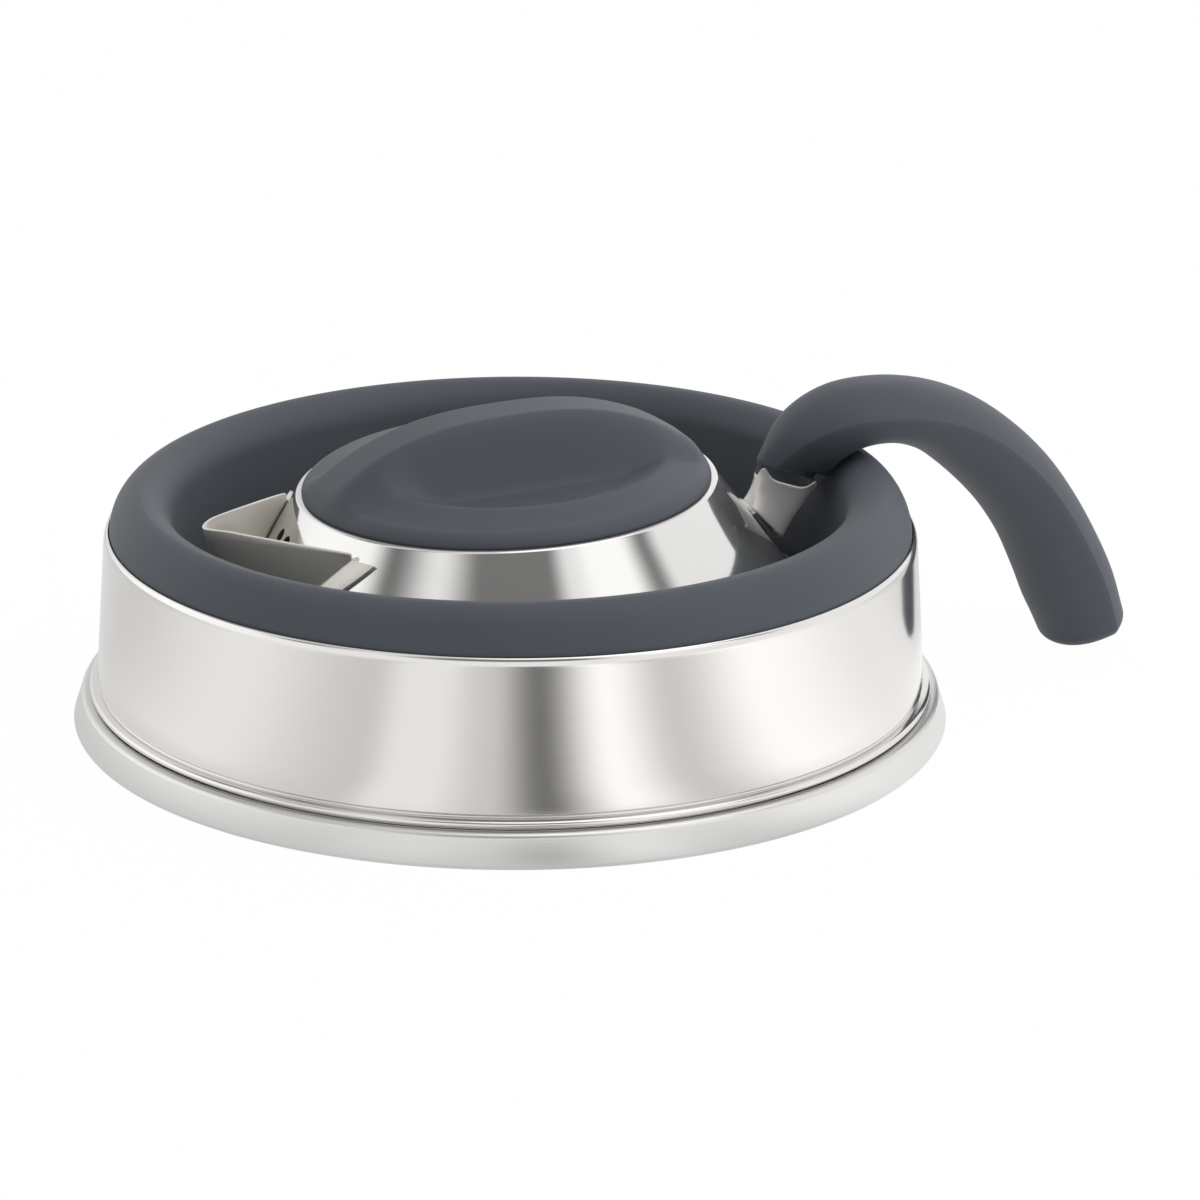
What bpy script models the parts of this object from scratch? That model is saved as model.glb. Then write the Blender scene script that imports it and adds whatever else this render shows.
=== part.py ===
"""A collapsible camping kettle, folded flat, with its lid on.

A stainless pan on an encapsulated base carries a moulded silicone wall. The wall rolls over
a crest and down inside itself to the rim of a stainless cone, which carries the spout, the
lid and the handle. Pulling the cone up turns the inner half of the wall over and lets the
kettle stand tall. Folded, the cone leans a little: its handle side stands higher.

The origin is the middle of the base, on the surface that the kettle stands on. +Z is up,
+X points to the handle and -X to the spout. All lengths are metres.
"""
import math

import bmesh
import bpy
from mathutils import Matrix, Vector

for old in list(bpy.data.objects):
    bpy.data.objects.remove(old)

# Sheet metal, moulding and clearance
sheet = 0.0008               # stainless sheet of every pressed piece
silicone = 0.0026            # wall of the silicone moulding
seat_gap = 0.0003            # clearance between pieces that touch
ring_segments = 44           # flats round each turned piece

# Foot and heat spreader
foot_radius = 0.0950
foot_edge_radius = 0.0012    # rounding at the foot's widest place, near the table
foot_flank = 0.0016          # how far the foot's flank leans in on its way up
foot_round = 0.0013          # rounding of its shoulder
foot_grip = 0.0014           # how far the foot laps up past the pan's underside
foot_shoulder = 0.0043       # foot radius less pan radius
spreader_thickness = 0.0045
spreader_margin = 0.0040     # room round the spreader inside the foot

# Pan
body_height = 0.0427         # from the table to the top of the pan's lip
pan_corner = 0.0012
bead_radius = 0.0008         # rolled bead on the foot's shoulder
groove_depth = 0.0013        # groove between the bead and the wall
groove_height = 0.0009
wall_step = 0.0009           # pan radius less the wall's lowest radius
wall_taper = 0.0020          # how much the wall narrows up to the lip
lip_height = 0.0024
lip_inset = 0.0010

# Silicone wall
hem_height = 0.0080          # part of the moulding held below the pan's lip
crest_inset = 0.0070         # from the lip in to the highest circle of the crest
crest_rise = 0.0095          # from the lip up to the crest
crest_fall_radius = 0.0068   # rounding from the crest down to the inner wall
crest_fullness = 1.8         # exponent of the outer rounding: 2 is an ellipse
fold_lean = 0.0018           # how far the inner wall leans in on its way down
fold_bend = 0.0013           # inner radius of the turn at the bottom of the fold
fold_room = 0.0070           # from the pan's floor up to the fold
collar_height = 0.0050       # upright rim of the cone that the moulding grips
grip_press = 0.0028          # how far the resting grip dents the crest's inner rounding
press_half_angle = 17.0      # degrees that the dent runs to each side of the grip

# Cone and mouth
top_tilt = 2.8               # degrees that the folded top leans, handle side up
lean_height = 0.0290         # level about which it leans
crest_follow_share = 0.22    # how much of that lean the crest takes up
mouth_rise = 0.0004          # from the crest up to the mouth's plane
cone_run_share = 0.30        # of the collar's radius, how far the cone narrows to its mouth
mouth_roll = 0.0010          # rounding of the mouth's edge
mouth_seat = 0.0042          # flat ring that the lid lies on
neck_depth = 0.0040

# Strainer behind the spout
strainer_hole = 0.0017       # radius of one hole
strainer_pitch = 0.0052
strainer_rows = 4
strainer_top_share = 0.20    # of the cone's height, down from the mouth
strainer_sides = 8

# Spout
spout_reach_share = 0.81     # of the way from the mouth's edge to the silicone wall
spout_tip_radius = 0.0034
spout_half_angle = 27.2      # degrees round the cone from its middle to its root corner
spout_root_share = 0.11      # of the cone's height, down from the mouth, at the root corner
spout_keel_share = 0.83      # the same, at the bottom of the keel
spout_keel_round = 5.0       # degrees over which the keel is rounded
spout_flange = 0.0048        # width of the weld flange
spout_rise = 0.0009          # height of the tip over the mouth's plane
spout_lip_drop = 0.0006      # how far the pouring lip curls down

# Lid
lid_inset = 0.0016           # from the mouth's edge in to the lid's
lid_edge_height = 0.0022
lid_edge_round = 0.0014
lid_brim_height = 0.0062     # height of the cover just outside the finger hollows
lid_ridge_height = 0.0162
lid_ridge_width = 0.0095     # flat top of the grip ridge
lid_flank = 0.0105           # run of the ridge's side
lid_hollow_depth = 0.0056
lid_hollow_soften = 0.09     # how softly the hollow meets the brim, as a share of its depth
lid_ridge_soften = 0.0022    # how softly the ridge grows out of the brim
lid_hollow_length_share = 0.70   # of the lid's radius, along the ridge
lid_hollow_reach_share = 0.60    # of the lid's radius, across the ridge
lid_hollow_floor_share = 0.72    # of that depth, where the hollow's floor is flat
lid_flange_inset = 0.0014    # from the cover's edge in to the steel plate's edge
lid_plug_depth = 0.0070
gasket_width = 0.0014
gasket_height = 0.0026

# Handle bracket and guard
guard_height_share = 0.61    # of the cone's height, down from the mouth
guard_stand = 0.0018         # gap from the cone to the guard's foot
guard_length = 0.0092
guard_foot_slope = 41.0      # degrees above level of the guard's axis at its foot
guard_mouth_slope = 70.0     # the same, at its mouth
guard_foot_depth = 0.0106
guard_waist_depth = 0.0108
guard_mouth_depth = 0.0122
guard_foot_width = 0.0074
guard_waist_width = 0.0062
guard_mouth_width = 0.0066
guard_scallop = 0.0022       # how far the mouth's corners stand above its sides
tongue_width = 0.0076
tongue_thickness = 0.0008
guard_tongue_share = 0.12    # of the guard's length, below the feet of the tongue and core
tongue_top_share = 0.82      # of the guard's length, up to the tongue's end
plug_share = 0.88            # of the guard's length, below the grip's plug in its mouth
pad_margin = 0.0006          # how far the bracket's pad shows round the guard's foot
rivet_share = 0.50           # of the guard's length, up to the rivet
rivet_radius = 0.0013

# Handle
core_width = 0.0076
core_thickness = 0.0014
core_share = 0.80            # how much of the grip the core runs through
grip_reach = 0.0791          # from the grip's root out to its far end
grip_rise = 0.0104           # from the root up to the highest point of its edge lines
grip_drop = 0.0572           # from there down to the far end
grip_width = 0.0280
grip_crown = 0.0058          # outer face above the grip's edge lines
grip_belly = 0.0145          # deepest part of the inner side
grip_segments = 20
grip_rings = 23
grip_root_share = 0.92       # section of the root ring, which is a little rounded
grip_tail = 0.0040           # length of the rounded far end
grip_tail_share = 0.90       # how far round that end closes before it is flat

# Shares that shape the grip's edge lines: of the reach, of the rise and of the drop
grip_spine_shares = (
    (0.000, 0.00, 0.000), (0.084, 0.68, 0.000), (0.204, 1.00, 0.000), (0.336, 1.00, 0.002),
    (0.468, 1.00, 0.038), (0.587, 1.00, 0.113), (0.691, 1.00, 0.225), (0.781, 1.00, 0.359),
    (0.854, 1.00, 0.510), (0.915, 1.00, 0.669), (0.966, 1.00, 0.832), (1.000, 1.00, 1.000),
)
# Width, crown and belly of the grip along its length, as shares of the three sizes
grip_width_shares = (0.32, 0.54, 0.79, 0.95, 1.00, 1.00, 0.99, 0.97, 0.95, 0.93, 0.91, 0.88)
grip_crown_shares = (0.50, 0.72, 0.90, 1.00, 1.00, 1.00, 1.00, 1.00, 1.00, 1.00, 1.00, 1.00)
grip_belly_shares = (0.76, 0.83, 0.63, 0.54, 0.63, 0.76, 0.83, 0.87, 0.90, 0.96, 1.00, 0.91)

# Heights and radii that follow from the sizes above
pan_radius = foot_radius - foot_shoulder
pan_underside = sheet + seat_gap + spreader_thickness + seat_gap
pan_floor = pan_underside + sheet
foot_height = pan_underside + foot_grip
bead_foot = foot_height + seat_gap
groove_foot = bead_foot + 2 * bead_radius
wall_foot = groove_foot + groove_height
wall_foot_radius = pan_radius - wall_step
groove_radius = pan_radius - groove_depth
lip_foot = body_height - lip_height
lip_foot_radius = wall_foot_radius - wall_taper
lip_end_radius = lip_foot_radius - lip_inset
hem_radius = lip_end_radius - seat_gap
crest_radius = hem_radius - crest_inset
crest_height = body_height + crest_rise
fold_top_radius = crest_radius - crest_fall_radius
fold_foot_radius = fold_top_radius - fold_lean
fold_height = pan_floor + fold_room + silicone + fold_bend
mouth_height = crest_height + mouth_rise
collar_radius = fold_foot_radius - 2 * fold_bend - silicone - seat_gap
mouth_radius = collar_radius * (1 - cone_run_share)
neck_radius = mouth_radius - mouth_roll - mouth_seat
lid_radius = mouth_radius - lid_inset
gasket_radius = neck_radius - seat_gap
lid_plug_radius = gasket_radius - gasket_width - seat_gap
rim_height = fold_height + collar_height - mouth_height
collar_foot = fold_height - mouth_height
cone_top = -seat_gap - mouth_roll
spout_tip_reach = mouth_radius + spout_reach_share * (fold_top_radius - mouth_radius)


def finish_material(name, colour, roughness, metallic):
    """A plain Principled material with the part's own colour."""
    material = bpy.data.materials.new(name)
    material.use_nodes = True
    shader = material.node_tree.nodes["Principled BSDF"]
    shader.inputs["Base Color"].default_value = (*colour, 1.0)
    shader.inputs["Roughness"].default_value = roughness
    shader.inputs["Metallic"].default_value = metallic
    return material


def add_object(name, bm, parent, material):
    """Turn a bmesh into a named object whose faces point outwards."""
    bmesh.ops.recalc_face_normals(bm, faces=bm.faces[:])
    mesh = bpy.data.meshes.new(name)
    bm.to_mesh(mesh)
    bm.free()
    mesh.shade_smooth()
    mesh.set_sharp_from_angle(angle=math.radians(35))
    mesh.materials.append(finish_material(name, *material))
    obj = bpy.data.objects.new(name, mesh)
    bpy.context.collection.objects.link(obj)
    obj.parent = parent
    return obj


def add_empty(name, parent, place, tilt):
    """An empty on the axis of a moving body, which carries the body's pieces."""
    empty = bpy.data.objects.new(name, None)
    bpy.context.collection.objects.link(empty)
    empty.parent = parent
    empty.location = place
    empty.rotation_euler = (0, -math.radians(tilt), 0)
    return empty


def arc(centre_r, centre_z, radius_r, radius_z, start, end, count, power=2.0):
    """Points on a quarter or part of a superellipse, from one angle to another in degrees."""
    points = []
    for i in range(count + 1):
        angle = math.radians(start + (end - start) * i / count)
        across, up = math.cos(angle), math.sin(angle)
        points.append((centre_r + radius_r * math.copysign(abs(across) ** (2 / power), across),
                       centre_z + radius_z * math.copysign(abs(up) ** (2 / power), up)))
    return points


def offset_path(points, distance):
    """The path moved to its right by a distance, with mitred corners."""
    moved = []
    last = len(points) - 1
    for i, (r, z) in enumerate(points):
        before = points[max(i - 1, 0)]
        after = points[min(i + 1, last)]
        first = Vector((r - before[0], z - before[1]))
        second = Vector((after[0] - r, after[1] - z))
        if i == 0:
            first = second
        if i == last:
            second = first
        first.normalize()
        second.normalize()
        side = Vector((first.y + second.y, -first.x - second.x)).normalized()
        stretch = max(side.dot(Vector((first.y, -first.x))), 0.5)
        moved.append((r + side.x * distance / stretch, z + side.y * distance / stretch))
    return moved


def sheet_section(points, thickness):
    """A closed section: the path and its offset, which joins back to the start."""
    return points + offset_path(points, thickness)[::-1]


def turned_mesh(section, steps):
    """Spin a closed section of (radius, height) points round the Z axis."""
    bm = bmesh.new()
    verts = [bm.verts.new((r, 0, z)) for r, z in section]
    edges = [bm.edges.new((verts[i - 1], verts[i])) for i in range(len(verts))
             if abs(section[i][0]) + abs(section[i - 1][0]) > 0]
    bmesh.ops.spin(bm, geom=verts + edges, axis=(0, 0, 1), cent=(0, 0, 0),
                   angle=2 * math.pi, steps=steps, use_merge=True)
    bmesh.ops.remove_doubles(bm, verts=bm.verts[:], dist=seat_gap / 100)
    return bm


def turned(name, section, parent, material):
    """A turned piece on its parent's axis."""
    return add_object(name, turned_mesh(section, ring_segments), parent, material)


def lofted(name, rings, parent, material, closed=False):
    """Skin a row of rings that have the same number of points.

    A closed row joins its last ring to its first. An open row gets a cap on each end ring.
    """
    bm = bmesh.new()
    rows = [[bm.verts.new(point) for point in ring] for ring in rings]
    pairs = list(zip(rows, rows[1:]))
    if closed:
        pairs.append((rows[-1], rows[0]))
    for low, high in pairs:
        for i in range(len(low)):
            bm.faces.new((low[i - 1], low[i], high[i], high[i - 1]))
    if not closed:
        bm.faces.new(rows[0][::-1])
        bm.faces.new(rows[-1])
    return add_object(name, bm, parent, material)


def smooth_through(points, count):
    """Evenly counted points on a Catmull-Rom curve through the given ones, ends included."""
    points = [Vector(p) for p in points]
    padded = [2 * points[0] - points[1]] + points + [2 * points[-1] - points[-2]]
    spans = len(points) - 1
    smooth = []
    for i in range(count):
        place = spans * i / (count - 1)
        k = min(int(place), spans - 1)
        t = place - k
        a, b, c, d = padded[k:k + 4]
        smooth.append(0.5 * (2 * b + (c - a) * t + (2 * a - 5 * b + 4 * c - d) * t * t
                             + (3 * b - a - 3 * c + d) * t ** 3))
    return smooth


def smooth_step(value):
    """0 below 0, 1 above 1, and an S curve between."""
    value = min(max(value, 0), 1)
    return value * value * (3 - 2 * value)


def cut_away(target, cutter):
    """Subtract a cutter that stays in the file as a wire guide."""
    cutter.hide_render = True
    cutter.display_type = "WIRE"
    cut = target.modifiers.new("cut " + cutter.name, "BOOLEAN")
    cut.operation = "DIFFERENCE"
    cut.object = cutter


# Each finish is a linear colour, a roughness and a metallic value
steel = ((0.62, 0.61, 0.60), 0.16, 1.0)
satin_steel = ((0.55, 0.54, 0.52), 0.32, 1.0)
aluminium = ((0.78, 0.79, 0.80), 0.40, 1.0)
grey_silicone = ((0.089, 0.102, 0.122), 0.62, 0.0)
seal_silicone = ((0.30, 0.31, 0.32), 0.55, 0.0)


def pan_inner_radius(height):
    """Radius of the pan's inner face at a height between its groove and its lip."""
    share = (height - wall_foot) / (lip_foot - wall_foot)
    return wall_foot_radius - wall_taper * share - sheet


def cone_radius(drop):
    """Radius of the cone's outer face at a distance below the mouth's plane."""
    share = (drop + cone_top) / (cone_top - rim_height)
    return mouth_radius + (collar_radius - mouth_radius) * share


def cone_drop(share):
    """Distance below the mouth's plane at a share of the cone's height."""
    return -cone_top + (cone_top - rim_height) * share


def cone_point(share, angle, lift):
    """A point over the cone's outer face, by its share of the height and its angle."""
    slope = math.atan2(cone_top - rim_height, collar_radius - mouth_radius)
    drop = cone_drop(share)
    radius = cone_radius(drop) + lift * math.sin(slope)
    return Vector((radius * math.cos(angle), radius * math.sin(angle),
                   -drop + lift * math.cos(slope)))


def base_cap():
    """Pressed foot: a shallow dish, widest at the table, whose flank leans in to the pan."""
    edge = foot_edge_radius
    shoulder = foot_radius - foot_flank - foot_round
    path = [(0, 0)]
    path += arc(foot_radius - edge, edge, edge, edge, -90, 0, 3)
    path += arc(shoulder, foot_height - foot_round, foot_round, foot_round, 0, 90, 2)
    path.append((pan_radius + seat_gap, foot_height))
    inside = offset_path(path, -sheet)
    inside[0] = (0, sheet)
    turned("base_cap", path + inside[::-1], None, steel)


def heat_spreader():
    """Aluminium disc shut between the foot and the pan."""
    foot = sheet + seat_gap
    top = foot + spreader_thickness
    radius = foot_radius - sheet - spreader_margin
    turned("heat_spreader", [(0, foot), (radius, foot), (radius, top), (0, top)], None, aluminium)


def body_shell():
    """Deep-drawn pan: floor, rolled bead, tapered wall and a lip curled in over the silicone."""
    outside = [(0, pan_underside)]
    outside += arc(pan_radius - pan_corner, pan_underside + pan_corner,
                   pan_corner, pan_corner, -90, 0, 1)
    outside += arc(pan_radius, bead_foot + bead_radius, bead_radius, bead_radius, -90, 90, 4)
    outside += [(groove_radius, groove_foot + groove_height / 4),
                (groove_radius, wall_foot - groove_height / 4),
                (wall_foot_radius, wall_foot)]
    outside += arc(lip_foot_radius - lip_inset, lip_foot, lip_inset, lip_height, 0, 90, 3)
    under_lip = lip_inset - sheet
    inside = arc(lip_end_radius, lip_foot, under_lip, lip_height - sheet, 90, 0, 2)
    inside += [(wall_foot_radius - sheet, wall_foot + groove_height),
               (groove_radius - sheet, wall_foot)]
    inside += arc(groove_radius - sheet - pan_corner, pan_floor + pan_corner,
                  pan_corner, pan_corner, 0, -90, 2)
    inside.append((0, pan_floor))
    turned("body_shell", outside + inside, None, steel)


def wall_clamp_ring():
    """Angle ring inside the pan that holds the silicone's hem against the lip."""
    hem_foot = lip_foot - hem_height
    inner = hem_radius - silicone - seat_gap
    shelf = hem_foot - seat_gap
    outer = pan_inner_radius(shelf) - seat_gap
    top = lip_foot
    section = [(inner - sheet, shelf - sheet), (outer, shelf - sheet), (outer, shelf),
               (inner, shelf), (inner, top), (inner - sheet, top)]
    turned("wall_clamp_ring", section, None, satin_steel)


def silicone_face():
    """Outer face of the folded wall, hem to hem.

    Each point has a radius, a height, how far it follows the top's lean and how much of the
    grip's dent it takes.
    """
    face = [(hem_radius, lip_foot - hem_height, 0, 0)]
    rise = arc(crest_radius, body_height, crest_inset, crest_rise, 0, 90, 4, crest_fullness)
    for i, (r, z) in enumerate(rise):
        share = smooth_step(i / 4)
        face.append((r, z, crest_follow_share * share, 0.5 * share ** 3))
    fall = crest_fall_radius
    dents = (0.5, 0.9, 1, 0.7)
    for i, (r, z) in enumerate(arc(crest_radius, crest_height - fall, fall, fall, 90, 180, 3)):
        if i:
            face.append((r, z, crest_follow_share * (1 + i / 3), dents[i]))
    middle = (fold_top_radius + fold_foot_radius) / 2
    face.append((middle, (crest_height - fall + fold_height) / 2, 1 - crest_follow_share, 0))
    turn = fold_foot_radius - fold_bend
    for r, z in arc(turn, fold_height, fold_bend, fold_bend, 0, -180, 2):
        face.append((r, z, 1, 0))
    hem_top = fold_height + collar_height - sheet
    face.append((turn - fold_bend, hem_top, 1, 0))
    return face


def silicone_wall():
    """Folded silicone wall: a section swept round the axis, level outside, tilted inside.

    Where the folded handle rests on it, the crest's inner rounding is pressed out and down.
    """
    face = silicone_face()
    back = offset_path([(r, z) for r, z, follow, dent in face], -silicone)
    section = face + [(r, z, *face[i][2:]) for i, (r, z) in enumerate(back)][::-1]
    lean = Matrix.Rotation(-math.radians(top_tilt), 3, "Y")
    centre = Vector((0, 0, lean_height))
    half = math.radians(press_half_angle)
    rings = []
    for k in range(ring_segments):
        angle = 2 * math.pi * k / ring_segments
        off = min(angle, 2 * math.pi - angle)
        press = grip_press * smooth_step(1 - off / half) * math.sqrt(0.5)
        ring = []
        for r, z, follow, dent in section:
            out = r + press * dent
            level = Vector((out * math.cos(angle), out * math.sin(angle), z - press * dent))
            tilted = centre + lean @ (level - centre)
            ring.append(level.lerp(tilted, follow))
        rings.append(ring)
    lofted("silicone_wall", rings, None, grey_silicone, closed=True)


def cone_clamp_ring(top):
    """Steel band that presses the silicone's inner hem against the cone's collar."""
    inner = collar_radius + seat_gap + silicone + seat_gap
    low = collar_foot + seat_gap
    high = rim_height - sheet
    section = [(inner, low), (inner + sheet, low), (inner + sheet, high), (inner, high)]
    turned("cone_clamp_ring", section, top, satin_steel)


def strainer_cutter(top):
    """Rows of short bars, square to the cone, that drill the strainer behind the spout."""
    bm = bmesh.new()
    step = strainer_pitch / math.hypot(cone_top - rim_height, collar_radius - mouth_radius)
    slope = math.atan2(collar_radius - mouth_radius, cone_top - rim_height)
    for row in range(strainer_rows):
        share = strainer_top_share + row * step * math.sin(math.radians(60))
        radius = cone_radius(cone_drop(share))
        count = strainer_rows - row
        for k in range(count):
            angle = math.pi + (k - (count - 1) / 2) * strainer_pitch / radius
            out = Matrix.Rotation(angle, 4, "Z") @ Matrix.Rotation(math.pi / 2 - slope, 4, "Y")
            place = Matrix.Translation(cone_point(share, angle, -sheet / 2)) @ out
            bmesh.ops.create_cone(bm, cap_ends=True, segments=strainer_sides,
                                  radius1=strainer_hole, radius2=strainer_hole,
                                  depth=sheet * 4, matrix=place)
    return add_object("strainer_cutter", bm, top, satin_steel)


def top_cone(top):
    """Spun cone: neck, flat seat, rolled mouth, slope and an upright collar."""
    slope = math.degrees(math.atan2(collar_radius - mouth_radius, cone_top - rim_height))
    path = [(neck_radius, -seat_gap - neck_depth)]
    path += arc(neck_radius + mouth_roll, cone_top, mouth_roll, mouth_roll, 180, 90, 2)
    path += arc(mouth_radius - mouth_roll, cone_top, mouth_roll, mouth_roll, 90, slope, 2)
    path += [(collar_radius, rim_height), (collar_radius, collar_foot)]
    cone = turned("top_cone", sheet_section(path, sheet), top, steel)
    cut_away(cone, strainer_cutter(top))


def spout_station(s):
    """Points of one station, flange edge to rim, for s from -1 (one root corner) to 1."""
    side = abs(s)
    half = math.radians(spout_half_angle)
    soft = math.radians(spout_keel_round) / half
    fall = (math.hypot(s, soft) - soft) / (math.hypot(1, soft) - soft)
    share = spout_keel_share + (spout_root_share - spout_keel_share) * fall
    angle = math.pi + half * s
    fold = cone_point(share, angle, seat_gap)
    run = math.hypot(collar_radius - mouth_radius, cone_top - rim_height)
    radius = cone_radius(cone_drop(share))
    corner = smooth_step((side - 0.7) / 0.3)
    down = spout_flange / run * (1 - 0.4 * smooth_step(side * 3) - 0.55 * corner)
    aside = math.copysign(0.75 * smooth_step(side * 3) + 0.35 * corner, s) * spout_flange / radius
    edge = cone_point(min(share + down, 0.97), angle + aside, seat_gap)
    root = cone_point(spout_root_share, math.pi + half, seat_gap)
    run_out = spout_tip_reach + root.x
    tip_soft = spout_tip_radius * abs(root.y) / run_out
    reach = math.hypot(root.y * s, tip_soft) - tip_soft
    reach /= math.hypot(root.y, tip_soft) - tip_soft
    curl = spout_lip_drop * (1 - smooth_step(side * 4))
    rim = Vector((-spout_tip_reach + run_out * reach, -abs(root.y) * s,
                  (root.z + 2 * sheet) * reach + spout_rise * (1 - reach) - curl))
    return [edge, fold, fold.lerp(rim, 0.3), fold.lerp(rim, 0.65), rim]


def spout(top):
    """V-shaped spout folded from sheet, with a weld flange that lies on the cone."""
    bm = bmesh.new()
    stations = 24
    rows = []
    for i in range(stations + 1):
        s = 2 * i / stations - 1
        rows.append([bm.verts.new(point) for point in spout_station(s)])
    for low, high in zip(rows, rows[1:]):
        for k in range(len(low) - 1):
            bm.faces.new((low[k], low[k + 1], high[k + 1], high[k]))
    piece = add_object("spout", bm, top, steel)
    wall = piece.modifiers.new("sheet", "SOLIDIFY")
    wall.thickness = sheet
    wall.offset = 1
    wall.use_even_offset = True


def cover_height(x, y):
    """Height of the lid's cover over the mouth's plane: brim, hollows and grip ridge."""
    lid = lid_radius
    out = math.hypot(x, y) / lid
    dome = lid_edge_height + (lid_brim_height - lid_edge_height) * smooth_step((1 - out) / 0.42)
    across = math.hypot(x / (lid * lid_hollow_length_share), y / (lid * lid_hollow_reach_share))
    inside = 1 - across * across
    hollow = lid_hollow_depth * (inside + math.hypot(inside, lid_hollow_soften)) / 2
    fall = 1 - min(abs(x) / lid, 1) ** 2.6
    ridge = lid_edge_height + (lid_ridge_height - lid_edge_height) * fall
    hold = 1 - smooth_step((abs(y) - lid_ridge_width / 2) / lid_flank)
    floor = dome - min(hollow, lid_hollow_depth * lid_hollow_floor_share)
    above = ridge - floor
    return floor + (above + math.hypot(above, lid_ridge_soften)) / 2 * hold


def lid_cover(lid):
    """Moulded silicone cover with a grip ridge between two finger hollows."""
    bm = bmesh.new()
    shares = (0.09, 0.18, 0.28, 0.38, 0.48, 0.58, 0.68, 0.78, 0.88)
    edge = lid_radius - lid_edge_round
    outline = [lid_radius * share for share in shares] + [edge]
    inner = lid_radius - lid_flange_inset + seat_gap
    recess = sheet + seat_gap
    rings = []
    for radius in outline:
        ring = []
        for k in range(ring_segments):
            angle = 2 * math.pi * k / ring_segments
            x, y = radius * math.cos(angle), radius * math.sin(angle)
            ring.append((x, y, cover_height(x, y)))
        rings.append(ring)
    for r, z in ((lid_radius - lid_edge_round * 0.3, lid_edge_height - lid_edge_round * 0.3),
                 (lid_radius, lid_edge_height - lid_edge_round), (lid_radius, 0),
                 (inner, 0), (inner, recess)):
        rings.append([(r * math.cos(2 * math.pi * k / ring_segments),
                       r * math.sin(2 * math.pi * k / ring_segments), z)
                      for k in range(ring_segments)])
    rows = [[bm.verts.new(point) for point in ring] for ring in rings]
    for low, high in zip(rows, rows[1:]):
        for k in range(ring_segments):
            bm.faces.new((low[k - 1], low[k], high[k], high[k - 1]))
    for ring, height in ((rows[0], cover_height(0, 0)), (rows[-1], recess)):
        pole = bm.verts.new((0, 0, height))
        for k in range(ring_segments):
            bm.faces.new((ring[k - 1], ring[k], pole))
    add_object("lid_cover", bm, lid, grey_silicone)


def lid_plate(lid):
    """Pressed steel plug: a flange that lies on the mouth's seat and a cup below it."""
    corner = sheet * 2
    path = [(lid_radius - lid_flange_inset, 0), (lid_plug_radius, 0)]
    path += arc(lid_plug_radius - corner, corner - lid_plug_depth, corner, corner, 0, -90, 2)
    path.append((0, -lid_plug_depth))
    inside = offset_path(path, sheet)
    inside[-1] = (0, sheet - lid_plug_depth)
    turned("lid_plate", path + inside[::-1], lid, satin_steel)


def lid_gasket(lid):
    """Silicone ring round the plug that grips the neck."""
    inner = lid_plug_radius + seat_gap
    outer = gasket_radius
    top = -2 * seat_gap
    waist = (inner + outer) / 2
    section = [(inner, top), (inner, top - gasket_height), (outer, top - gasket_height),
               (waist, top - gasket_height / 2), (outer, top)]
    turned("lid_gasket", section, lid, seal_silicone)


def guard_frame(t):
    """Centre, outward normal, depth and width of the guard at t, 0 its foot and 1 its mouth."""
    foot = cone_point(guard_height_share, 0, guard_stand)
    low, high = math.radians(guard_foot_slope), math.radians(guard_mouth_slope)
    middle = (low + high) / 2
    bend = foot + Vector((math.cos(middle), 0, math.sin(middle))) * guard_length / 2
    mouth = foot + Vector((math.cos(middle), 0, math.sin(middle))) * guard_length
    centre = foot * (1 - t) ** 2 + bend * 2 * t * (1 - t) + mouth * t * t
    slope = low + (high - low) * t
    along = Vector((math.cos(slope), 0, math.sin(slope)))

    def waisted(at_foot, at_waist, at_mouth):
        return at_foot * (1 - t) * (1 - 2 * t) + at_waist * 4 * t * (1 - t) + at_mouth * t * (2 * t - 1)

    depth = waisted(guard_foot_depth, guard_waist_depth, guard_mouth_depth)
    width = waisted(guard_foot_width, guard_waist_width, guard_mouth_width)
    return centre, along, depth, width


def squared_ring(centre, along, depth, width, count, power, scallop=0.0):
    """Ring of points on a superellipse square to a direction in the XZ plane.

    The scallop raises the ring's four corners along that direction.
    """
    outward = Vector((-along.z, 0, along.x))
    ring = []
    for k in range(count):
        angle = 2 * math.pi * k / count
        a, b = math.cos(angle), math.sin(angle)
        across = math.copysign(abs(a) ** (2 / power), a) * width / 2
        deep = math.copysign(abs(b) ** (2 / power), b) * depth / 2
        corner = (math.sin(2 * angle)) ** 2
        ring.append(centre + Vector((0, across, 0)) + outward * deep + along * scallop * corner)
    return ring


def tongue_ring(centre, along):
    """Section of the bracket's tongue, which lies beside the core that has this centre."""
    beside = Vector((0, (core_thickness + tongue_thickness) / 2 + seat_gap, 0))
    return squared_ring(centre - beside, along, tongue_width, tongue_thickness, 16, 5)


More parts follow.
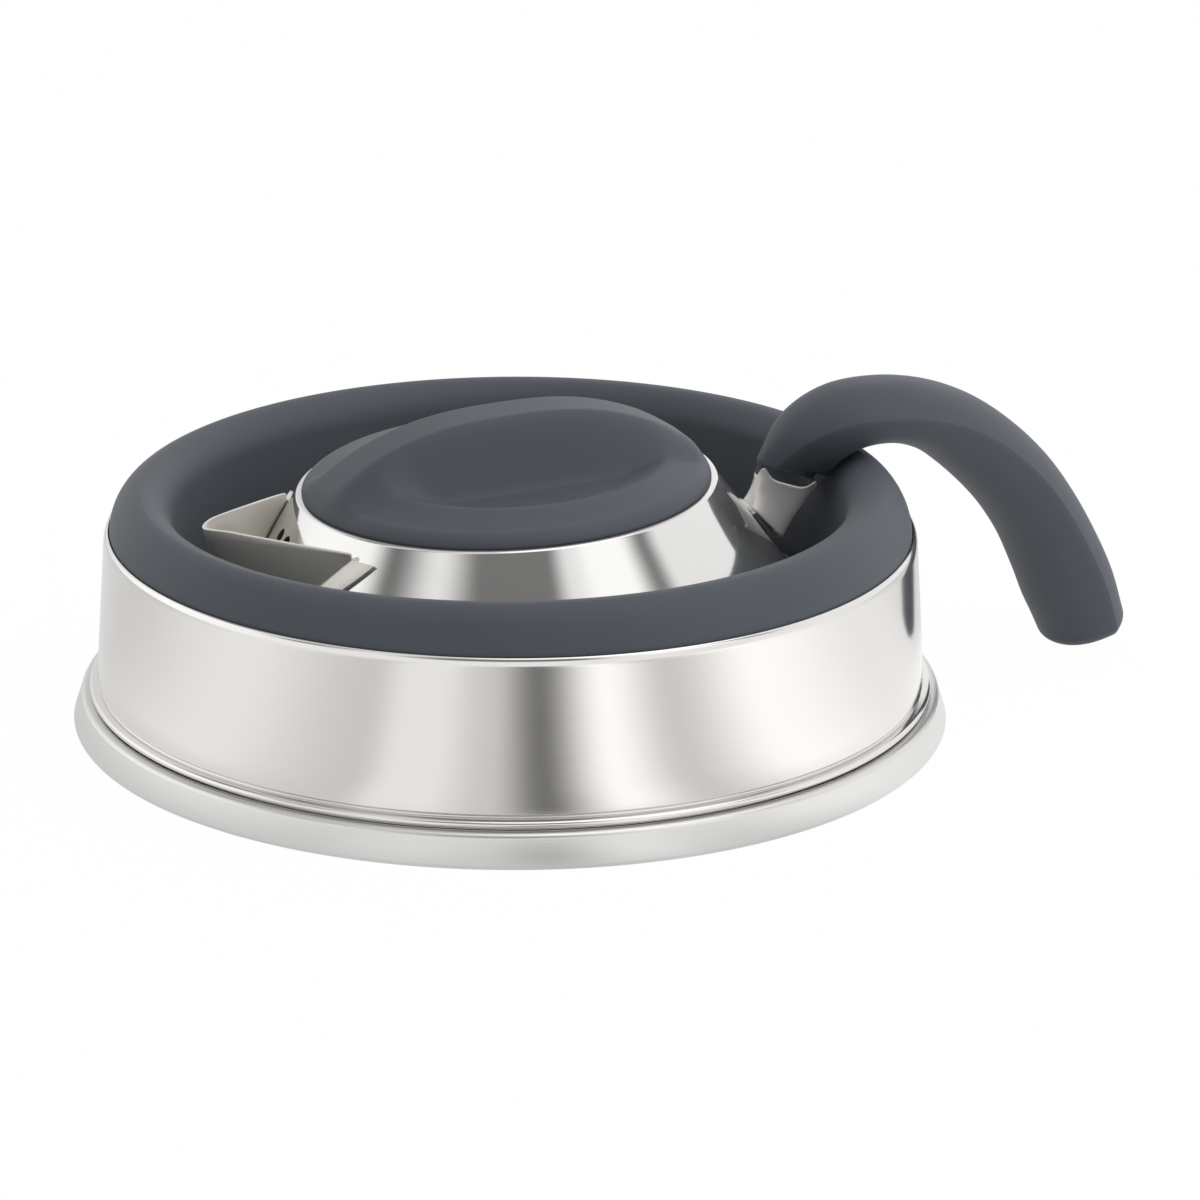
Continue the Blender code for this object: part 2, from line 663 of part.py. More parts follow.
def handle_bracket(top):
    """Pad welded on the cone, with a tongue that rises inside the guard."""
    run = math.hypot(collar_radius - mouth_radius, cone_top - rim_height)
    radius = cone_radius(cone_drop(guard_height_share))
    depth = guard_foot_depth + 2 * pad_margin
    width = guard_foot_width + 2 * pad_margin
    up = Vector((0, 0, 1))
    pad = squared_ring(Vector(), up, depth, width, 16, 5)
    middle = squared_ring(Vector(), up, tongue_thickness, tongue_thickness, 16, 5)
    top_lift = seat_gap + sheet
    rings = []
    for ring, lift in ((middle, seat_gap), (pad, seat_gap), (pad, top_lift),
                       (tongue_ring(Vector(), up), top_lift)):
        rings.append([cone_point(guard_height_share + point.x / run, point.y / radius, lift)
                      for point in ring])
    for i in range(4):
        rise = guard_tongue_share + (tongue_top_share - guard_tongue_share) * i / 3
        rings.append(tongue_ring(*guard_frame(rise)[:2]))
    bracket = lofted("handle_bracket", rings, top, satin_steel)
    cut_away(bracket, rivet_cutter(top))


def rivet_place(obj):
    """Lay a piece on the rivet's axis, across the tongue and the core."""
    centre, along, depth, width = guard_frame(rivet_share)
    obj.location = centre - Vector((0, (tongue_thickness + seat_gap) / 2, 0))
    obj.rotation_euler = (math.radians(90), 0, 0)
    return obj


def rivet_cutter(top):
    """Bar that drills the rivet's hole."""
    bm = bmesh.new()
    hole = rivet_radius + seat_gap
    bmesh.ops.create_cone(bm, cap_ends=True, segments=12, radius1=hole, radius2=hole,
                          depth=guard_waist_width)
    return rivet_place(add_object("rivet_cutter", bm, top, satin_steel))


def handle_rivet(top):
    """Rivet through the tongue and the core, filed flush on both sides."""
    half = (core_thickness + seat_gap + tongue_thickness) / 2
    section = [(0, -half), (rivet_radius, -half), (rivet_radius, half), (0, half)]
    bm = turned_mesh(section, 12)
    rivet_place(add_object("handle_rivet", bm, top, satin_steel))


def handle_guard(top):
    """Stamped flame guard: a four-sided sleeve, waisted, with a scalloped flared mouth."""
    rows = 5
    sides = 20
    outer, inner = [], []
    for i in range(rows + 1):
        t = i / rows
        centre, along, depth, width = guard_frame(t)
        rise = guard_scallop * smooth_step(2 * t - 1)
        outer.append(squared_ring(centre, along, depth, width, sides, 5, rise))
        inner.append(squared_ring(centre, along, depth - 2 * sheet, width - 2 * sheet,
                                  sides, 5, rise))
    lofted("handle_guard", outer + inner[::-1], top, steel, closed=True)


def grip_profile():
    """Centre, direction, width, crown and belly of the grip at each of its rings.

    The centre lies halfway through the section, where the core runs, and the edge lines lie
    half the difference of belly and crown above it.
    """
    mouth, along, depth, width = guard_frame(1)
    sizes = [(grip_width * w, grip_crown * c, grip_belly * b)
             for w, c, b in zip(grip_width_shares, grip_crown_shares, grip_belly_shares)]
    outward = Vector((-along.z, 0, along.x))
    root = mouth + along * (guard_scallop + 2 * seat_gap)
    root += outward * (sizes[0][2] - sizes[0][1]) / 2
    spine = [(root.x + grip_reach * across, 0, root.z + grip_rise * rise - grip_drop * drop)
             for across, rise, drop in grip_spine_shares]
    edges = smooth_through(spine, grip_rings)
    sizes = smooth_through(sizes, grip_rings)
    frames = []
    for i, edge in enumerate(edges):
        before, after = edges[max(i - 1, 0)], edges[min(i + 1, grip_rings - 1)]
        direction = along if i == 0 else (after - before).normalized()
        outward = Vector((-direction.z, 0, direction.x))
        width, crown, belly = sizes[i]
        frames.append((edge + outward * (crown - belly) / 2, direction, width, crown, belly))
    return frames


def grip_ring(centre, direction, width, crown, belly, scale):
    """Section of the grip: a low crown over two edge lines and a deep rounded belly."""
    outward = Vector((-direction.z, 0, direction.x))
    ring = []
    for k in range(grip_segments):
        angle = 2 * math.pi * k / grip_segments
        a, b = math.cos(angle), math.sin(angle)
        across = a * width / 2
        if b >= 0:
            height = crown * (1 - abs(a) ** 2.4)
        else:
            height = -belly * abs(b) ** 0.8
        height += (belly - crown) / 2
        ring.append(centre + (Vector((0, across, 0)) + outward * height) * scale)
    return ring


def core_ring(centre, direction, spare):
    """Section of the steel core, or of the pocket that it lies in."""
    return squared_ring(centre, direction, core_width + 2 * spare, core_thickness + 2 * spare,
                        grip_segments, 5)


def core_frames():
    """Stations in the guard's mouth, then every third one of the grip that the core reaches."""
    frames = [guard_frame(t)[:2] for t in (plug_share, 1)]
    grip = grip_profile()
    last = round((len(grip) - 1) * core_share)
    return frames + [(centre, direction) for centre, direction, w, c, b in grip[:last:3]]


def handle_core(top):
    """Flat steel bar that stands beside the tongue and runs on down inside the grip."""
    rings = []
    for i in range(3):
        rise = guard_tongue_share + (tongue_top_share - guard_tongue_share) * i / 3
        centre, along, depth, width = guard_frame(rise)
        rings.append(core_ring(centre, along, 0))
    rings += [core_ring(centre, direction, 0) for centre, direction in core_frames()]
    core = lofted("handle_core", rings, top, satin_steel)
    cut_away(core, bpy.data.objects["rivet_cutter"])


def handle_sleeve(top):
    """Silicone grip with a blind pocket for the core and a plug that fills the guard's mouth."""
    frames = grip_profile()
    pocket = [core_ring(centre, direction, seat_gap) for centre, direction in core_frames()]
    centre, direction = core_frames()[-1]
    pocket.append(core_ring(centre + direction * seat_gap, direction, seat_gap))
    rings = pocket[::-1]
    for t in (plug_share, 1):
        centre, along, depth, width = guard_frame(t)
        room = 2 * sheet + 3 * seat_gap
        rings.append(squared_ring(centre, along, depth - room, width - room, grip_segments, 5))
    above = centre + along * (guard_scallop + seat_gap)
    rings.append(squared_ring(above, along, depth - room, width - room, grip_segments, 5))
    for i, (centre, direction, width, crown, belly) in enumerate(frames):
        scale = 1 if i else grip_root_share
        rings.append(grip_ring(centre, direction, width, crown, belly, scale))
    tail, direction, width, crown, belly = frames[-1]
    for share in (0.5, 0.85, 1):
        swell = math.sqrt(1 - (share * grip_tail_share) ** 2)
        rings.append(grip_ring(tail + direction * grip_tail * share, direction,
                               width, crown, belly, swell))
    lofted("handle_sleeve", rings, top, grey_silicone)


def build():
    """Make every piece of the kettle, body by body."""
    base_cap()
    heat_spreader()
    body_shell()
    wall_clamp_ring()
    silicone_wall()
    lean = Matrix.Rotation(-math.radians(top_tilt), 3, "Y")
    mouth = Vector((0, 0, lean_height)) + lean @ Vector((0, 0, mouth_height - lean_height))
    top = add_empty("top_axis", None, mouth, top_tilt)
    cone_clamp_ring(top)
    top_cone(top)
    spout(top)
    handle_bracket(top)
    handle_guard(top)
    handle_rivet(top)
    handle_core(top)
    handle_sleeve(top)
    lid = add_empty("lid_axis", top, (0, 0, 0), 0)
    lid_plate(lid)
    lid_gasket(lid)
    lid_cover(lid)


build()
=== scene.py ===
# %% [markdown]
# A collapsible camping kettle, folded flat, with its lid on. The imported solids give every
# place and size. This lesson dresses them: each visible piece is worked out again as a smooth
# surface with numpy, in the same place, and then gets the finish of its real material.

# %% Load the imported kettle
import math

import bmesh
import bpy
import numpy as np
from mathutils import Matrix, Vector


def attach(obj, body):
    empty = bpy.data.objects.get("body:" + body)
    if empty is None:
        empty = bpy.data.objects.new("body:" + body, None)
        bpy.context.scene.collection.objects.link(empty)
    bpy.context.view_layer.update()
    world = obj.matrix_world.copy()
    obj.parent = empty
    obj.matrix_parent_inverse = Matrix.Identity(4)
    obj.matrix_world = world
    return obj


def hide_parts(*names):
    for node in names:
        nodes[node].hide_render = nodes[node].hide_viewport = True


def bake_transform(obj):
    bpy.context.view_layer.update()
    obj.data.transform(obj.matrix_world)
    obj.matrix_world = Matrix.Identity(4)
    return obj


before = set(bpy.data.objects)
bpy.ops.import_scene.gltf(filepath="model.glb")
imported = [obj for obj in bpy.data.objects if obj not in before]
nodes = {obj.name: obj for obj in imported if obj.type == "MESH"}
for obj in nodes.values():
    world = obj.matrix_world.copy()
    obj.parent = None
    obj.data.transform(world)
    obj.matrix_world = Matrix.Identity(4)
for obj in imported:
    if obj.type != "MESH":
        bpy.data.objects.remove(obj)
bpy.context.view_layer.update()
print("packed nodes", sorted(nodes))

# %% [markdown]
# Sizes are written in millimetres, because a maker thinks of a kettle in millimetres. Blender
# works in metres, so each mesh is divided by a thousand as it is made. The sizes repeat those
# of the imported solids, so a new surface lies where the solid is.

# %% Sizes that the pieces share, in millimetres
# One millimetre in metres, the sheet's thickness, the room left between two pieces, and the
# steps once round a turned piece.
MM, SHEET, GAP, STEPS = 0.001, 0.8, 0.3, 288
# The foot and the pan stand level.
PAN_RADIUS, FOOT_HEIGHT, BODY_HEIGHT = 90.7, 7.3, 42.7
# The cone and all it carries lean towards the spout, about a point of the axis at the lean
# height. Their places are measured from the mouth's centre, and their heights from its plane.
TOP_TILT, LEAN_HEIGHT = math.radians(2.8), 29.0
MOUTH = np.array([-1.1529, 0.0, 52.5718])
MOUTH_RADIUS, COLLAR_RADIUS, NECK_RADIUS, LID_RADIUS = 45.78, 65.4, 40.58, 44.18
CONE_TOP, CONE_RIM, CONE_COLLAR = -1.3, -30.0, -35.0


# %% Small tools for curves
def leaned(points, tilt=TOP_TILT):
    """Turn about the Y axis: x' = x cos(tilt) - z sin(tilt), z' = x sin(tilt) + z cos(tilt)."""
    points = np.asarray(points, float)
    c, s = math.cos(tilt), math.sin(tilt)
    x, y, z = points[..., 0], points[..., 1], points[..., 2]
    return np.stack([x * c - z * s, y, x * s + z * c], -1)


def on_top(points):
    """Places measured from the mouth's centre and plane, leaned and moved to the mouth."""
    return leaned(points) + MOUTH


def once_round(count=STEPS):
    """Angles once round, in radians, without the last one, which would repeat the first."""
    return np.linspace(0, 2 * math.pi, count, endpoint=False)


def squared(value, power):
    """sign(value) |value| ^ (2 / power), which makes a circle's cosine or sine squarer."""
    return np.sign(value) * np.abs(value) ** (2 / power)


def arc(centre, radii, start, end, count, power=2.0):
    """Superellipse arc: centre + radii * squared(cos, sin), between two angles in degrees."""
    angle = np.radians(np.linspace(start, end, count))
    unit = np.stack([np.cos(angle), np.sin(angle)], -1)
    return np.asarray(centre) + np.asarray(radii) * squared(unit, power)


def smooth_step(value):
    """0 below 0, 1 above 1, and t * t * (3 - 2 t) between."""
    t = np.clip(value, 0, 1)
    return t * t * (3 - 2 * t)


def unit_rows(vectors):
    """Each row divided by its own length."""
    return vectors / np.linalg.norm(vectors, axis=1, keepdims=True)


def offset_path(path, distance):
    """Each point moved by a distance along the mean of its two neighbouring normals.

    The move is divided by the cosine between that mean and a normal, which keeps the sheet's
    thickness round a bend. The cosine counts as at least a half, so no sharp bend shoots out.
    """
    path = np.asarray(path, float)
    ahead = unit_rows(np.diff(path, axis=0))
    side = np.stack([ahead[:, 1], -ahead[:, 0]], -1)
    mean = unit_rows(np.vstack([side[:1], side[:-1] + side[1:], side[-1:]]))
    cosine = (mean * np.vstack([side, side[-1:]])).sum(1, keepdims=True)
    return path + mean * distance / np.maximum(cosine, 0.5)


def rounded(corners, radius):
    """A path with each inner corner replaced by a quadratic curve that starts one radius off.

    The curve uses at most 0.48 of a side, so two curves on one side never meet.
    """
    corners = np.asarray(corners, float)
    path = [corners[:1]]
    t = np.linspace(0, 1, 5)[:, None]
    for before, corner, after in zip(corners, corners[1:], corners[2:]):
        back, on = before - corner, after - corner
        reach = min(radius, np.linalg.norm(back) * 0.48, np.linalg.norm(on) * 0.48)
        a = corner + back / np.linalg.norm(back) * reach
        b = corner + on / np.linalg.norm(on) * reach
        path.append(a * (1 - t) ** 2 + corner * 2 * t * (1 - t) + b * t * t)
    path.append(corners[-1:])
    return np.vstack(path)


def smooth_through(points, count):
    """Catmull-Rom curve through the points, sampled at evenly spaced parameters."""
    points = np.asarray(points, float)
    padded = np.vstack([2 * points[0] - points[1], points, 2 * points[-1] - points[-2]])
    place = np.linspace(0, len(points) - 1, count)
    k = np.minimum(place.astype(int), len(points) - 2)
    t = (place - k)[:, None]
    a, b, c, d = (padded[k + i] for i in range(4))
    return 0.5 * (2 * b + (c - a) * t + (2 * a - 5 * b + 4 * c - d) * t ** 2
                  + (3 * b - a - 3 * c + d) * t ** 3)


# %% Small tools for meshes
def new_object(name, data):
    """An object for a mesh, a lamp or a lens, linked to the scene."""
    thing = bpy.data.objects.new(name, data)
    bpy.context.scene.collection.objects.link(thing)
    return thing


def surface(name, grid, around=True, closed=False, caps=False, sharp=32):
    """Make a mesh of a grid of points in millimetres: rows by columns by (x, y, z).

    Columns join round when around is true, and rows when closed is true. Caps fill the end
    rows. Edges that bend by more than sharp degrees stay sharp.
    """
    grid = np.asarray(grid, float)
    rows, columns = grid.shape[:2]
    index = np.arange(rows * columns).reshape(rows, columns)
    if around:
        index = np.hstack([index, index[:, :1]])
    if closed:
        index = np.vstack([index, index[:1]])
    quads = np.stack([index[:-1, :-1], index[:-1, 1:], index[1:, 1:], index[1:, :-1]], -1)
    faces = quads.reshape(-1, 4).tolist()
    if caps:
        faces += [index[0, :columns][::-1].tolist(), index[rows - 1, :columns].tolist()]
    mesh = bpy.data.meshes.new(name)
    mesh.from_pydata((grid.reshape(-1, 3) * MM).tolist(), [], faces)
    bm = bmesh.new()
    bm.from_mesh(mesh)
    bmesh.ops.remove_doubles(bm, verts=bm.verts[:], dist=1e-6)
    bmesh.ops.dissolve_degenerate(bm, edges=bm.edges[:], dist=1e-7)
    bmesh.ops.recalc_face_normals(bm, faces=bm.faces[:])
    bm.to_mesh(mesh)
    bm.free()
    mesh.shade_smooth()
    mesh.set_sharp_from_angle(angle=math.radians(sharp))
    print(name, len(mesh.polygons), "faces")
    return new_object(name, mesh)


def spun(section, angle):
    """(r cos a, r sin a, z) for each (radius r, height z) of a section and each angle a."""
    r, z = section[:, :1], section[:, 1:]
    return np.stack([r * np.cos(angle), r * np.sin(angle), z + 0 * angle], -1)


def settled(piece):
    """Replace a piece's mesh with what its modifiers make of it, and drop the modifiers."""
    graph = bpy.context.evaluated_depsgraph_get()
    mesh = bpy.data.meshes.new_from_object(piece.evaluated_get(graph))
    piece.modifiers.clear()
    piece.data = mesh
    return mesh


def finish_piece(piece, body, material, slot, *replaced):
    """Give a piece its material, its body and the solids it stands for. The slot is not used."""
    piece.data.materials.clear()
    piece.data.materials.append(material)
    if body:
        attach(piece, body)
    if replaced:
        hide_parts(*replaced)


# %% [markdown]
# ## Materials
#
# Colours are written as the hex values that a paint program shows, and one function turns
# them into the linear values that the renderer counts with. Another adds one node with its
# settings and links, so a material below reads as a short list.

# %% Small tools for materials
def linear(text):
    """sRGB hex to linear red, green, blue and 1: c / 12.92, or ((c + 0.055) / 1.055) ^ 2.4."""
    value = np.array([int(text[i:i + 2], 16) / 255 for i in (1, 3, 5)])
    low, high = value / 12.92, ((value + 0.055) / 1.055) ** 2.4
    return (*np.where(value <= 0.04045, low, high).tolist(), 1.0)


def add(tree, kind, links=None, **settings):
    """One node: settings name its properties, links name its inputs and what feeds them."""
    node = tree.nodes.new("ShaderNode" + kind)
    for name, value in settings.items():
        setattr(node, name, value)
    for name, value in (links or {}).items():
        if isinstance(value, bpy.types.NodeSocket):
            tree.links.new(value, node.inputs[name])
        else:
            node.inputs[name].default_value = value
    return node


def new_material(name, hex_colour, **sockets):
    """A Principled material with its constants on the shader's own sockets."""
    material = bpy.data.materials.new(name)
    material.use_nodes = True
    shader = material.node_tree.nodes["Principled BSDF"]
    shader.inputs["Base Color"].default_value = linear(hex_colour)
    for key, value in sockets.items():
        shader.inputs[key.replace("_", " ")].default_value = value
    return material, material.node_tree, shader


def stainless(name, hex_colour, roughness, streak_mm, streak_depth, smudge, metallic=0.96):
    """Stainless sheet. Streaks run round the piece, because it was polished on a lathe.

    A noise whose height axis is stretched many times more than the other two gives lines that
    run level round the kettle. streak_mm is the spacing of the lines. A metallic value under
    1 stands for a haze of scratches or a pickled skin, which scatters a little light.
    """
    material, tree, shader = new_material(name, hex_colour, Metallic=metallic,
                                          Roughness=roughness)
    place = add(tree, "TexCoord").outputs["Object"]
    stretch = add(tree, "Mapping", {"Vector": place, "Scale": (9, 9, 1000 / streak_mm)})
    lines = add(tree, "TexNoise", {"Vector": stretch.outputs[0], "Scale": 1.0, "Detail": 3.0})
    cloud = add(tree, "TexNoise", {"Vector": place, "Scale": 22.0, "Detail": 4.0})
    wear = add(tree, "MapRange", {"Value": cloud.outputs[0], "From Min": 0.35, "From Max": 0.7,
                                  "To Min": roughness - smudge, "To Max": roughness + smudge})
    fine = add(tree, "MapRange", {"Value": lines.outputs[0], "From Min": 0.3, "From Max": 0.7,
                                  "To Min": -smudge / 2, "To Max": smudge / 2})
    total = add(tree, "Math", {0: wear.outputs[0], 1: fine.outputs[0]}, operation="ADD")
    tree.links.new(total.outputs[0], shader.inputs["Roughness"])
    bump = add(tree, "Bump", {"Height": lines.outputs[0], "Strength": streak_depth,
                              "Distance": 0.0002})
    tree.links.new(bump.outputs[0], shader.inputs["Normal"])
    return material


# %% [markdown]
# The pan, foot, cone, spout and guard are 18/10 stainless steel, pressed and spun from sheet.
# The pan, foot and cone are then polished on a wheel, which makes a slightly warm mirror. The
# wheel leaves level hair lines, which blur a reflection up and down but hardly sideways, so
# lamps show as soft upright bands. The spout is only pickled, and a pickled skin is duller
# and scatters more light. The guard is tumbled smooth. Both stand among dark silicone, so
# their metallic values are matched to the photograph, well under what steel has. The
# brackets, rings and lid plate inside keep a satin finish, and the disc under the pan is
# aluminium as it left the mill.

# %% Stainless steel finishes
pan_steel = stainless("polished_stainless_pan", "#DDDBD8", 0.12, 0.45, 0.04, 0.02)
foot_steel = stainless("polished_stainless_foot", "#D8D7D5", 0.34, 0.35, 0.06, 0.03)
cone_steel = stainless("spun_polished_stainless", "#DDDCDA", 0.08, 0.40, 0.02, 0.015, 0.90)
pressed_steel = stainless("pressed_pickled_stainless", "#E1DDD5", 0.36, 0.80, 0.0, 0.03, 0.62)
guard_steel = stainless("stamped_tumbled_stainless", "#E6E4E1", 0.36, 0.80, 0.0, 0.03, 0.55)
satin_steel = stainless("satin_stainless", "#C4C2BE", 0.32, 0.30, 0.25, 0.04)
mill_aluminium = stainless("mill_finish_aluminium", "#D9DADB", 0.42, 0.60, 0.25, 0.04)


# %% [markdown]
# The folding wall, the lid's cover and the grip are moulded silicone rubber, a dark grey with
# a little blue in it. The mould was lightly blasted, so the skin is matt with a soft bloom
# and a very fine grain. The grain of about 0.25 mm is drawn at 0.5 mm, since the real one is
# too fine to show, and a faint cloud a few centimetres wide stands for dust and handling.

# %% Silicone finish
def moulded_silicone(name, hex_colour, light_hex, roughness):
    """Matt silicone: a fine grain bump, a faint cloud in colour and in roughness, a bloom."""
    material, tree, shader = new_material(name, hex_colour, Roughness=roughness, IOR=1.41)
    shader.inputs["Sheen Weight"].default_value = 0.06
    shader.inputs["Sheen Roughness"].default_value = 0.5
    place = add(tree, "TexCoord").outputs["Object"]
    cloud = add(tree, "TexNoise", {"Vector": place, "Scale": 30.0, "Detail": 5.0})
    tone = add(tree, "MapRange", {"Value": cloud.outputs[0], "From Min": 0.35, "From Max": 0.7})
    colour = add(tree, "Mix", {"Factor": tone.outputs[0], 6: linear(hex_colour),
                               7: linear(light_hex)}, data_type="RGBA")
    tree.links.new(colour.outputs[2], shader.inputs["Base Color"])
    bloom = add(tree, "MapRange", {"Value": cloud.outputs[0], "From Min": 0.3, "From Max": 0.7,
                                   "To Min": roughness - 0.04, "To Max": roughness + 0.05})
    tree.links.new(bloom.outputs[0], shader.inputs["Roughness"])
    grain = add(tree, "TexNoise", {"Vector": place, "Scale": 2000.0, "Detail": 2.0})
    bump = add(tree, "Bump", {"Height": grain.outputs[0], "Strength": 0.10, "Distance": 0.0001})
    tree.links.new(bump.outputs[0], shader.inputs["Normal"])
    return material


grey_silicone = moulded_silicone("moulded_silicone_grey", "#484D55", "#4D525A", 0.56)
seal_silicone = moulded_silicone("moulded_silicone_seal", "#8E9092", "#969899", 0.50)

# %% [markdown]
# ## The foot and the pan
#
# The foot is a shallow dish pressed from sheet. It is widest near the table, and its flank
# leans in to a rounded shoulder. The pan above it is deep drawn: a small bead rolls over the
# foot's shoulder, a groove runs round above that, and the wall narrows a little up to a lip
# that is curled in over the silicone. Both are turned shapes, so one closed section that is
# spun round the axis says all of it.

# %% Foot
FOOT_EDGE, FOOT_EDGE_BEND = 95.0, 1.2
SHOULDER, SHOULDER_BEND = 93.4, 1.3


def foot_section():
    """Outside from the axis to the shoulder, then its offset by one sheet back to the axis."""
    outside = np.vstack([
        [(0, 0)],
        arc((FOOT_EDGE - FOOT_EDGE_BEND, FOOT_EDGE_BEND), (FOOT_EDGE_BEND, FOOT_EDGE_BEND),
            -90, 0, 9),
        arc((SHOULDER - SHOULDER_BEND, FOOT_HEIGHT - SHOULDER_BEND),
            (SHOULDER_BEND, SHOULDER_BEND), 0, 90, 9),
        [(PAN_RADIUS + GAP, FOOT_HEIGHT)]])
    inside = offset_path(outside, -SHEET)
    inside[0] = (0, SHEET)
    return np.vstack([outside, inside[::-1]])


foot = surface("foot", spun(foot_section(), once_round()), closed=True)
finish_piece(foot, "base", foot_steel, "foot_steel", "base_cap")


# %% Pan
PAN_FLOOR, PAN_BEND, BEAD, BEAD_HEIGHT = 5.9, 1.2, 0.8, 8.4
BEND_MIDDLE, INNER_BEND_MIDDLE = 89.5, 87.4
BEAD_TO_WALL = [(90.2, 9.2), (89.4, 9.43), (89.4, 9.87), (89.8, 10.1), (89.4, 16.0)]
GROOVE_INSIDE = [(89.0, 11.0), (88.6, 10.1)]
LIP, LIP_OUTER, LIP_INNER = (86.8, 40.3), (1.0, 2.4), (0.2, 1.6)


def pan_section():
    """Floor, corner, bead, groove, tapered wall and curled lip, and the way back inside."""
    outside = np.vstack([
        [(0, PAN_FLOOR)],
        arc((BEND_MIDDLE, PAN_FLOOR + PAN_BEND), (PAN_BEND, PAN_BEND), -90, 0, 6),
        arc((PAN_RADIUS, BEAD_HEIGHT), (BEAD, BEAD), -90, 90, 13),
        rounded(BEAD_TO_WALL, 0.4)[2:],
        arc(LIP, LIP_OUTER, 0, 90, 12)])
    inside = np.vstack([
        arc(LIP, LIP_INNER, 90, 0, 5), GROOVE_INSIDE,
        arc((INNER_BEND_MIDDLE, PAN_FLOOR + SHEET + PAN_BEND), (PAN_BEND, PAN_BEND), 0, -90, 6),
        [(0, PAN_FLOOR + SHEET)]])
    return np.vstack([outside, inside])


pan = surface("pan", spun(pan_section(), once_round()), closed=True)
finish_piece(pan, "base", pan_steel, "pan_steel", "body_shell")


# %% [markdown]
# ## The folding wall
#
# One silicone moulding joins the pan to the cone. It stands up from the pan's lip, rolls over
# a crest and hangs down inside itself to the cone's collar. The outside is level, while the
# inside leans with the cone, so each point of the section follows the lean by its own share.
# Where the folded grip rests, the soft crest is pressed out and down a little.
#
# The moulding is made as two pieces that meet on the crest. The outer one stays with the pan.
# The inner one gets no body.

# %% Folding wall
CREST_RADIUS, CREST_HEIGHT, CREST_FALL = 79.5, 52.2, 6.8
FOLD_RADIUS, FOLD_HEIGHT, FOLD_BEND, WALL = 70.9, 17.6, 1.3, 2.6
HEM_RADIUS, HEM_FOOT, INNER_HEM = 86.5, 32.3, 4.2
# How much of the lean the crest has, and how deep and how wide the grip presses it.
CREST_LEAN, DENT_DEPTH, DENT_HALF_TURN = 0.22, 2.8, math.radians(17)


def wall_face():
    """Outer face, hem to hem, and its crest's row.

    Each row is a radius, a height, a share of the lean and a share of the dent.
    """
    hem = np.linspace((HEM_RADIUS, HEM_FOOT), (HEM_RADIUS, BODY_HEIGHT), 6)[:-1]
    hem = np.column_stack([hem, np.zeros((5, 2))])
    share = smooth_step(np.linspace(0, 1, 22))
    reach = (HEM_RADIUS - CREST_RADIUS, CREST_HEIGHT - BODY_HEIGHT)
    rise = arc((CREST_RADIUS, BODY_HEIGHT), reach, 0, 90, 22, 1.8)
    rise = np.column_stack([rise, CREST_LEAN * share, 0.5 * share ** 3])
    t = np.linspace(0, 1, 19)
    fall = arc((CREST_RADIUS, CREST_HEIGHT - CREST_FALL), (CREST_FALL, CREST_FALL), 90, 180, 19)
    fall = np.column_stack([fall, CREST_LEAN * (1 + t),
                            np.interp(t, [0, 1 / 3, 2 / 3, 1], [0.5, 0.9, 1, 0.7])])
    turn = arc((FOLD_RADIUS - FOLD_BEND, FOLD_HEIGHT), (FOLD_BEND, FOLD_BEND), 0, -180, 13)
    u = np.linspace(0, 1, 14)[1:-1, None]
    lean = 2 * CREST_LEAN
    side = np.column_stack([fall[-1, :2] * (1 - u) + turn[0] * u,
                            lean + (1 - lean) * smooth_step(0.75 * u + 0.25 * u * u),
                            0.7 * (1 - smooth_step(2 * u))])
    turn = np.column_stack([turn, np.ones(13), np.zeros(13)])
    end = np.array([(FOLD_RADIUS - 2 * FOLD_BEND, FOLD_HEIGHT + INNER_HEM, 1, 0)])
    return np.vstack([hem, rise, fall[1:], side, turn, end]), len(hem) + len(rise) - 1


def wall_grid(section):
    """Sweep the section round: press the dent, then mix level and leaning by the share.

    The dent goes down and out at 45 degrees, and fades to nothing over its half turn.
    """
    angle = once_round()
    off = np.minimum(angle, 2 * math.pi - angle)
    press = DENT_DEPTH * smooth_step(1 - off / DENT_HALF_TURN) * math.sqrt(0.5)
    r, z, follow, dent = (section[:, k:k + 1] for k in range(4))
    out = r + press * dent
    level = np.stack([out * np.cos(angle), out * np.sin(angle), z - press * dent], -1)
    pivot = np.array([0, 0, LEAN_HEIGHT])
    leaning = leaned(level - pivot) + pivot
    return level + (leaning - level) * follow[..., None]


face, crest = wall_face()
back = np.column_stack([offset_path(face[:, :2], -WALL), face[:, 2:]])
outer_band = surface("wall_outer", wall_grid(np.vstack([face[:crest + 1], back[crest::-1]])),
                     closed=True)
inner_fold = surface("wall_inner", wall_grid(np.vstack([face[crest:], back[:crest - 1:-1]])),
                     closed=True)
finish_piece(outer_band, "base", grey_silicone, "grey_silicone", "silicone_wall")
finish_piece(inner_fold, None, grey_silicone, "grey_silicone", "silicone_wall")


# %% [markdown]
# ## The cone
#
# The cone is spun from sheet over a former: a neck and a flat seat for the lid, a rolled
# mouth, a straight slope and an upright collar that the moulding grips. The spout and the
# handle are welded to the slope, so a place on it is worked out by one function: its share of
# the slope's height, its angle round, and how far it is lifted off the sheet.

# %% The cone's slope
CONE_FALL, CONE_SPREAD = CONE_TOP - CONE_RIM, COLLAR_RADIUS - MOUTH_RADIUS
CONE_SLOPE, CONE_RUN = math.atan2(CONE_FALL, CONE_SPREAD), math.hypot(CONE_FALL, CONE_SPREAD)
SPOUT_SIDE = math.pi


def cone_radius(drop):
    """Radius of the slope at a distance below the mouth's plane, a straight line."""
    return MOUTH_RADIUS + CONE_SPREAD * (drop + CONE_TOP) / CONE_FALL


def cone_drop(share):
    """Distance below the mouth's plane at a share of the slope's height."""
    return -CONE_TOP + CONE_FALL * share


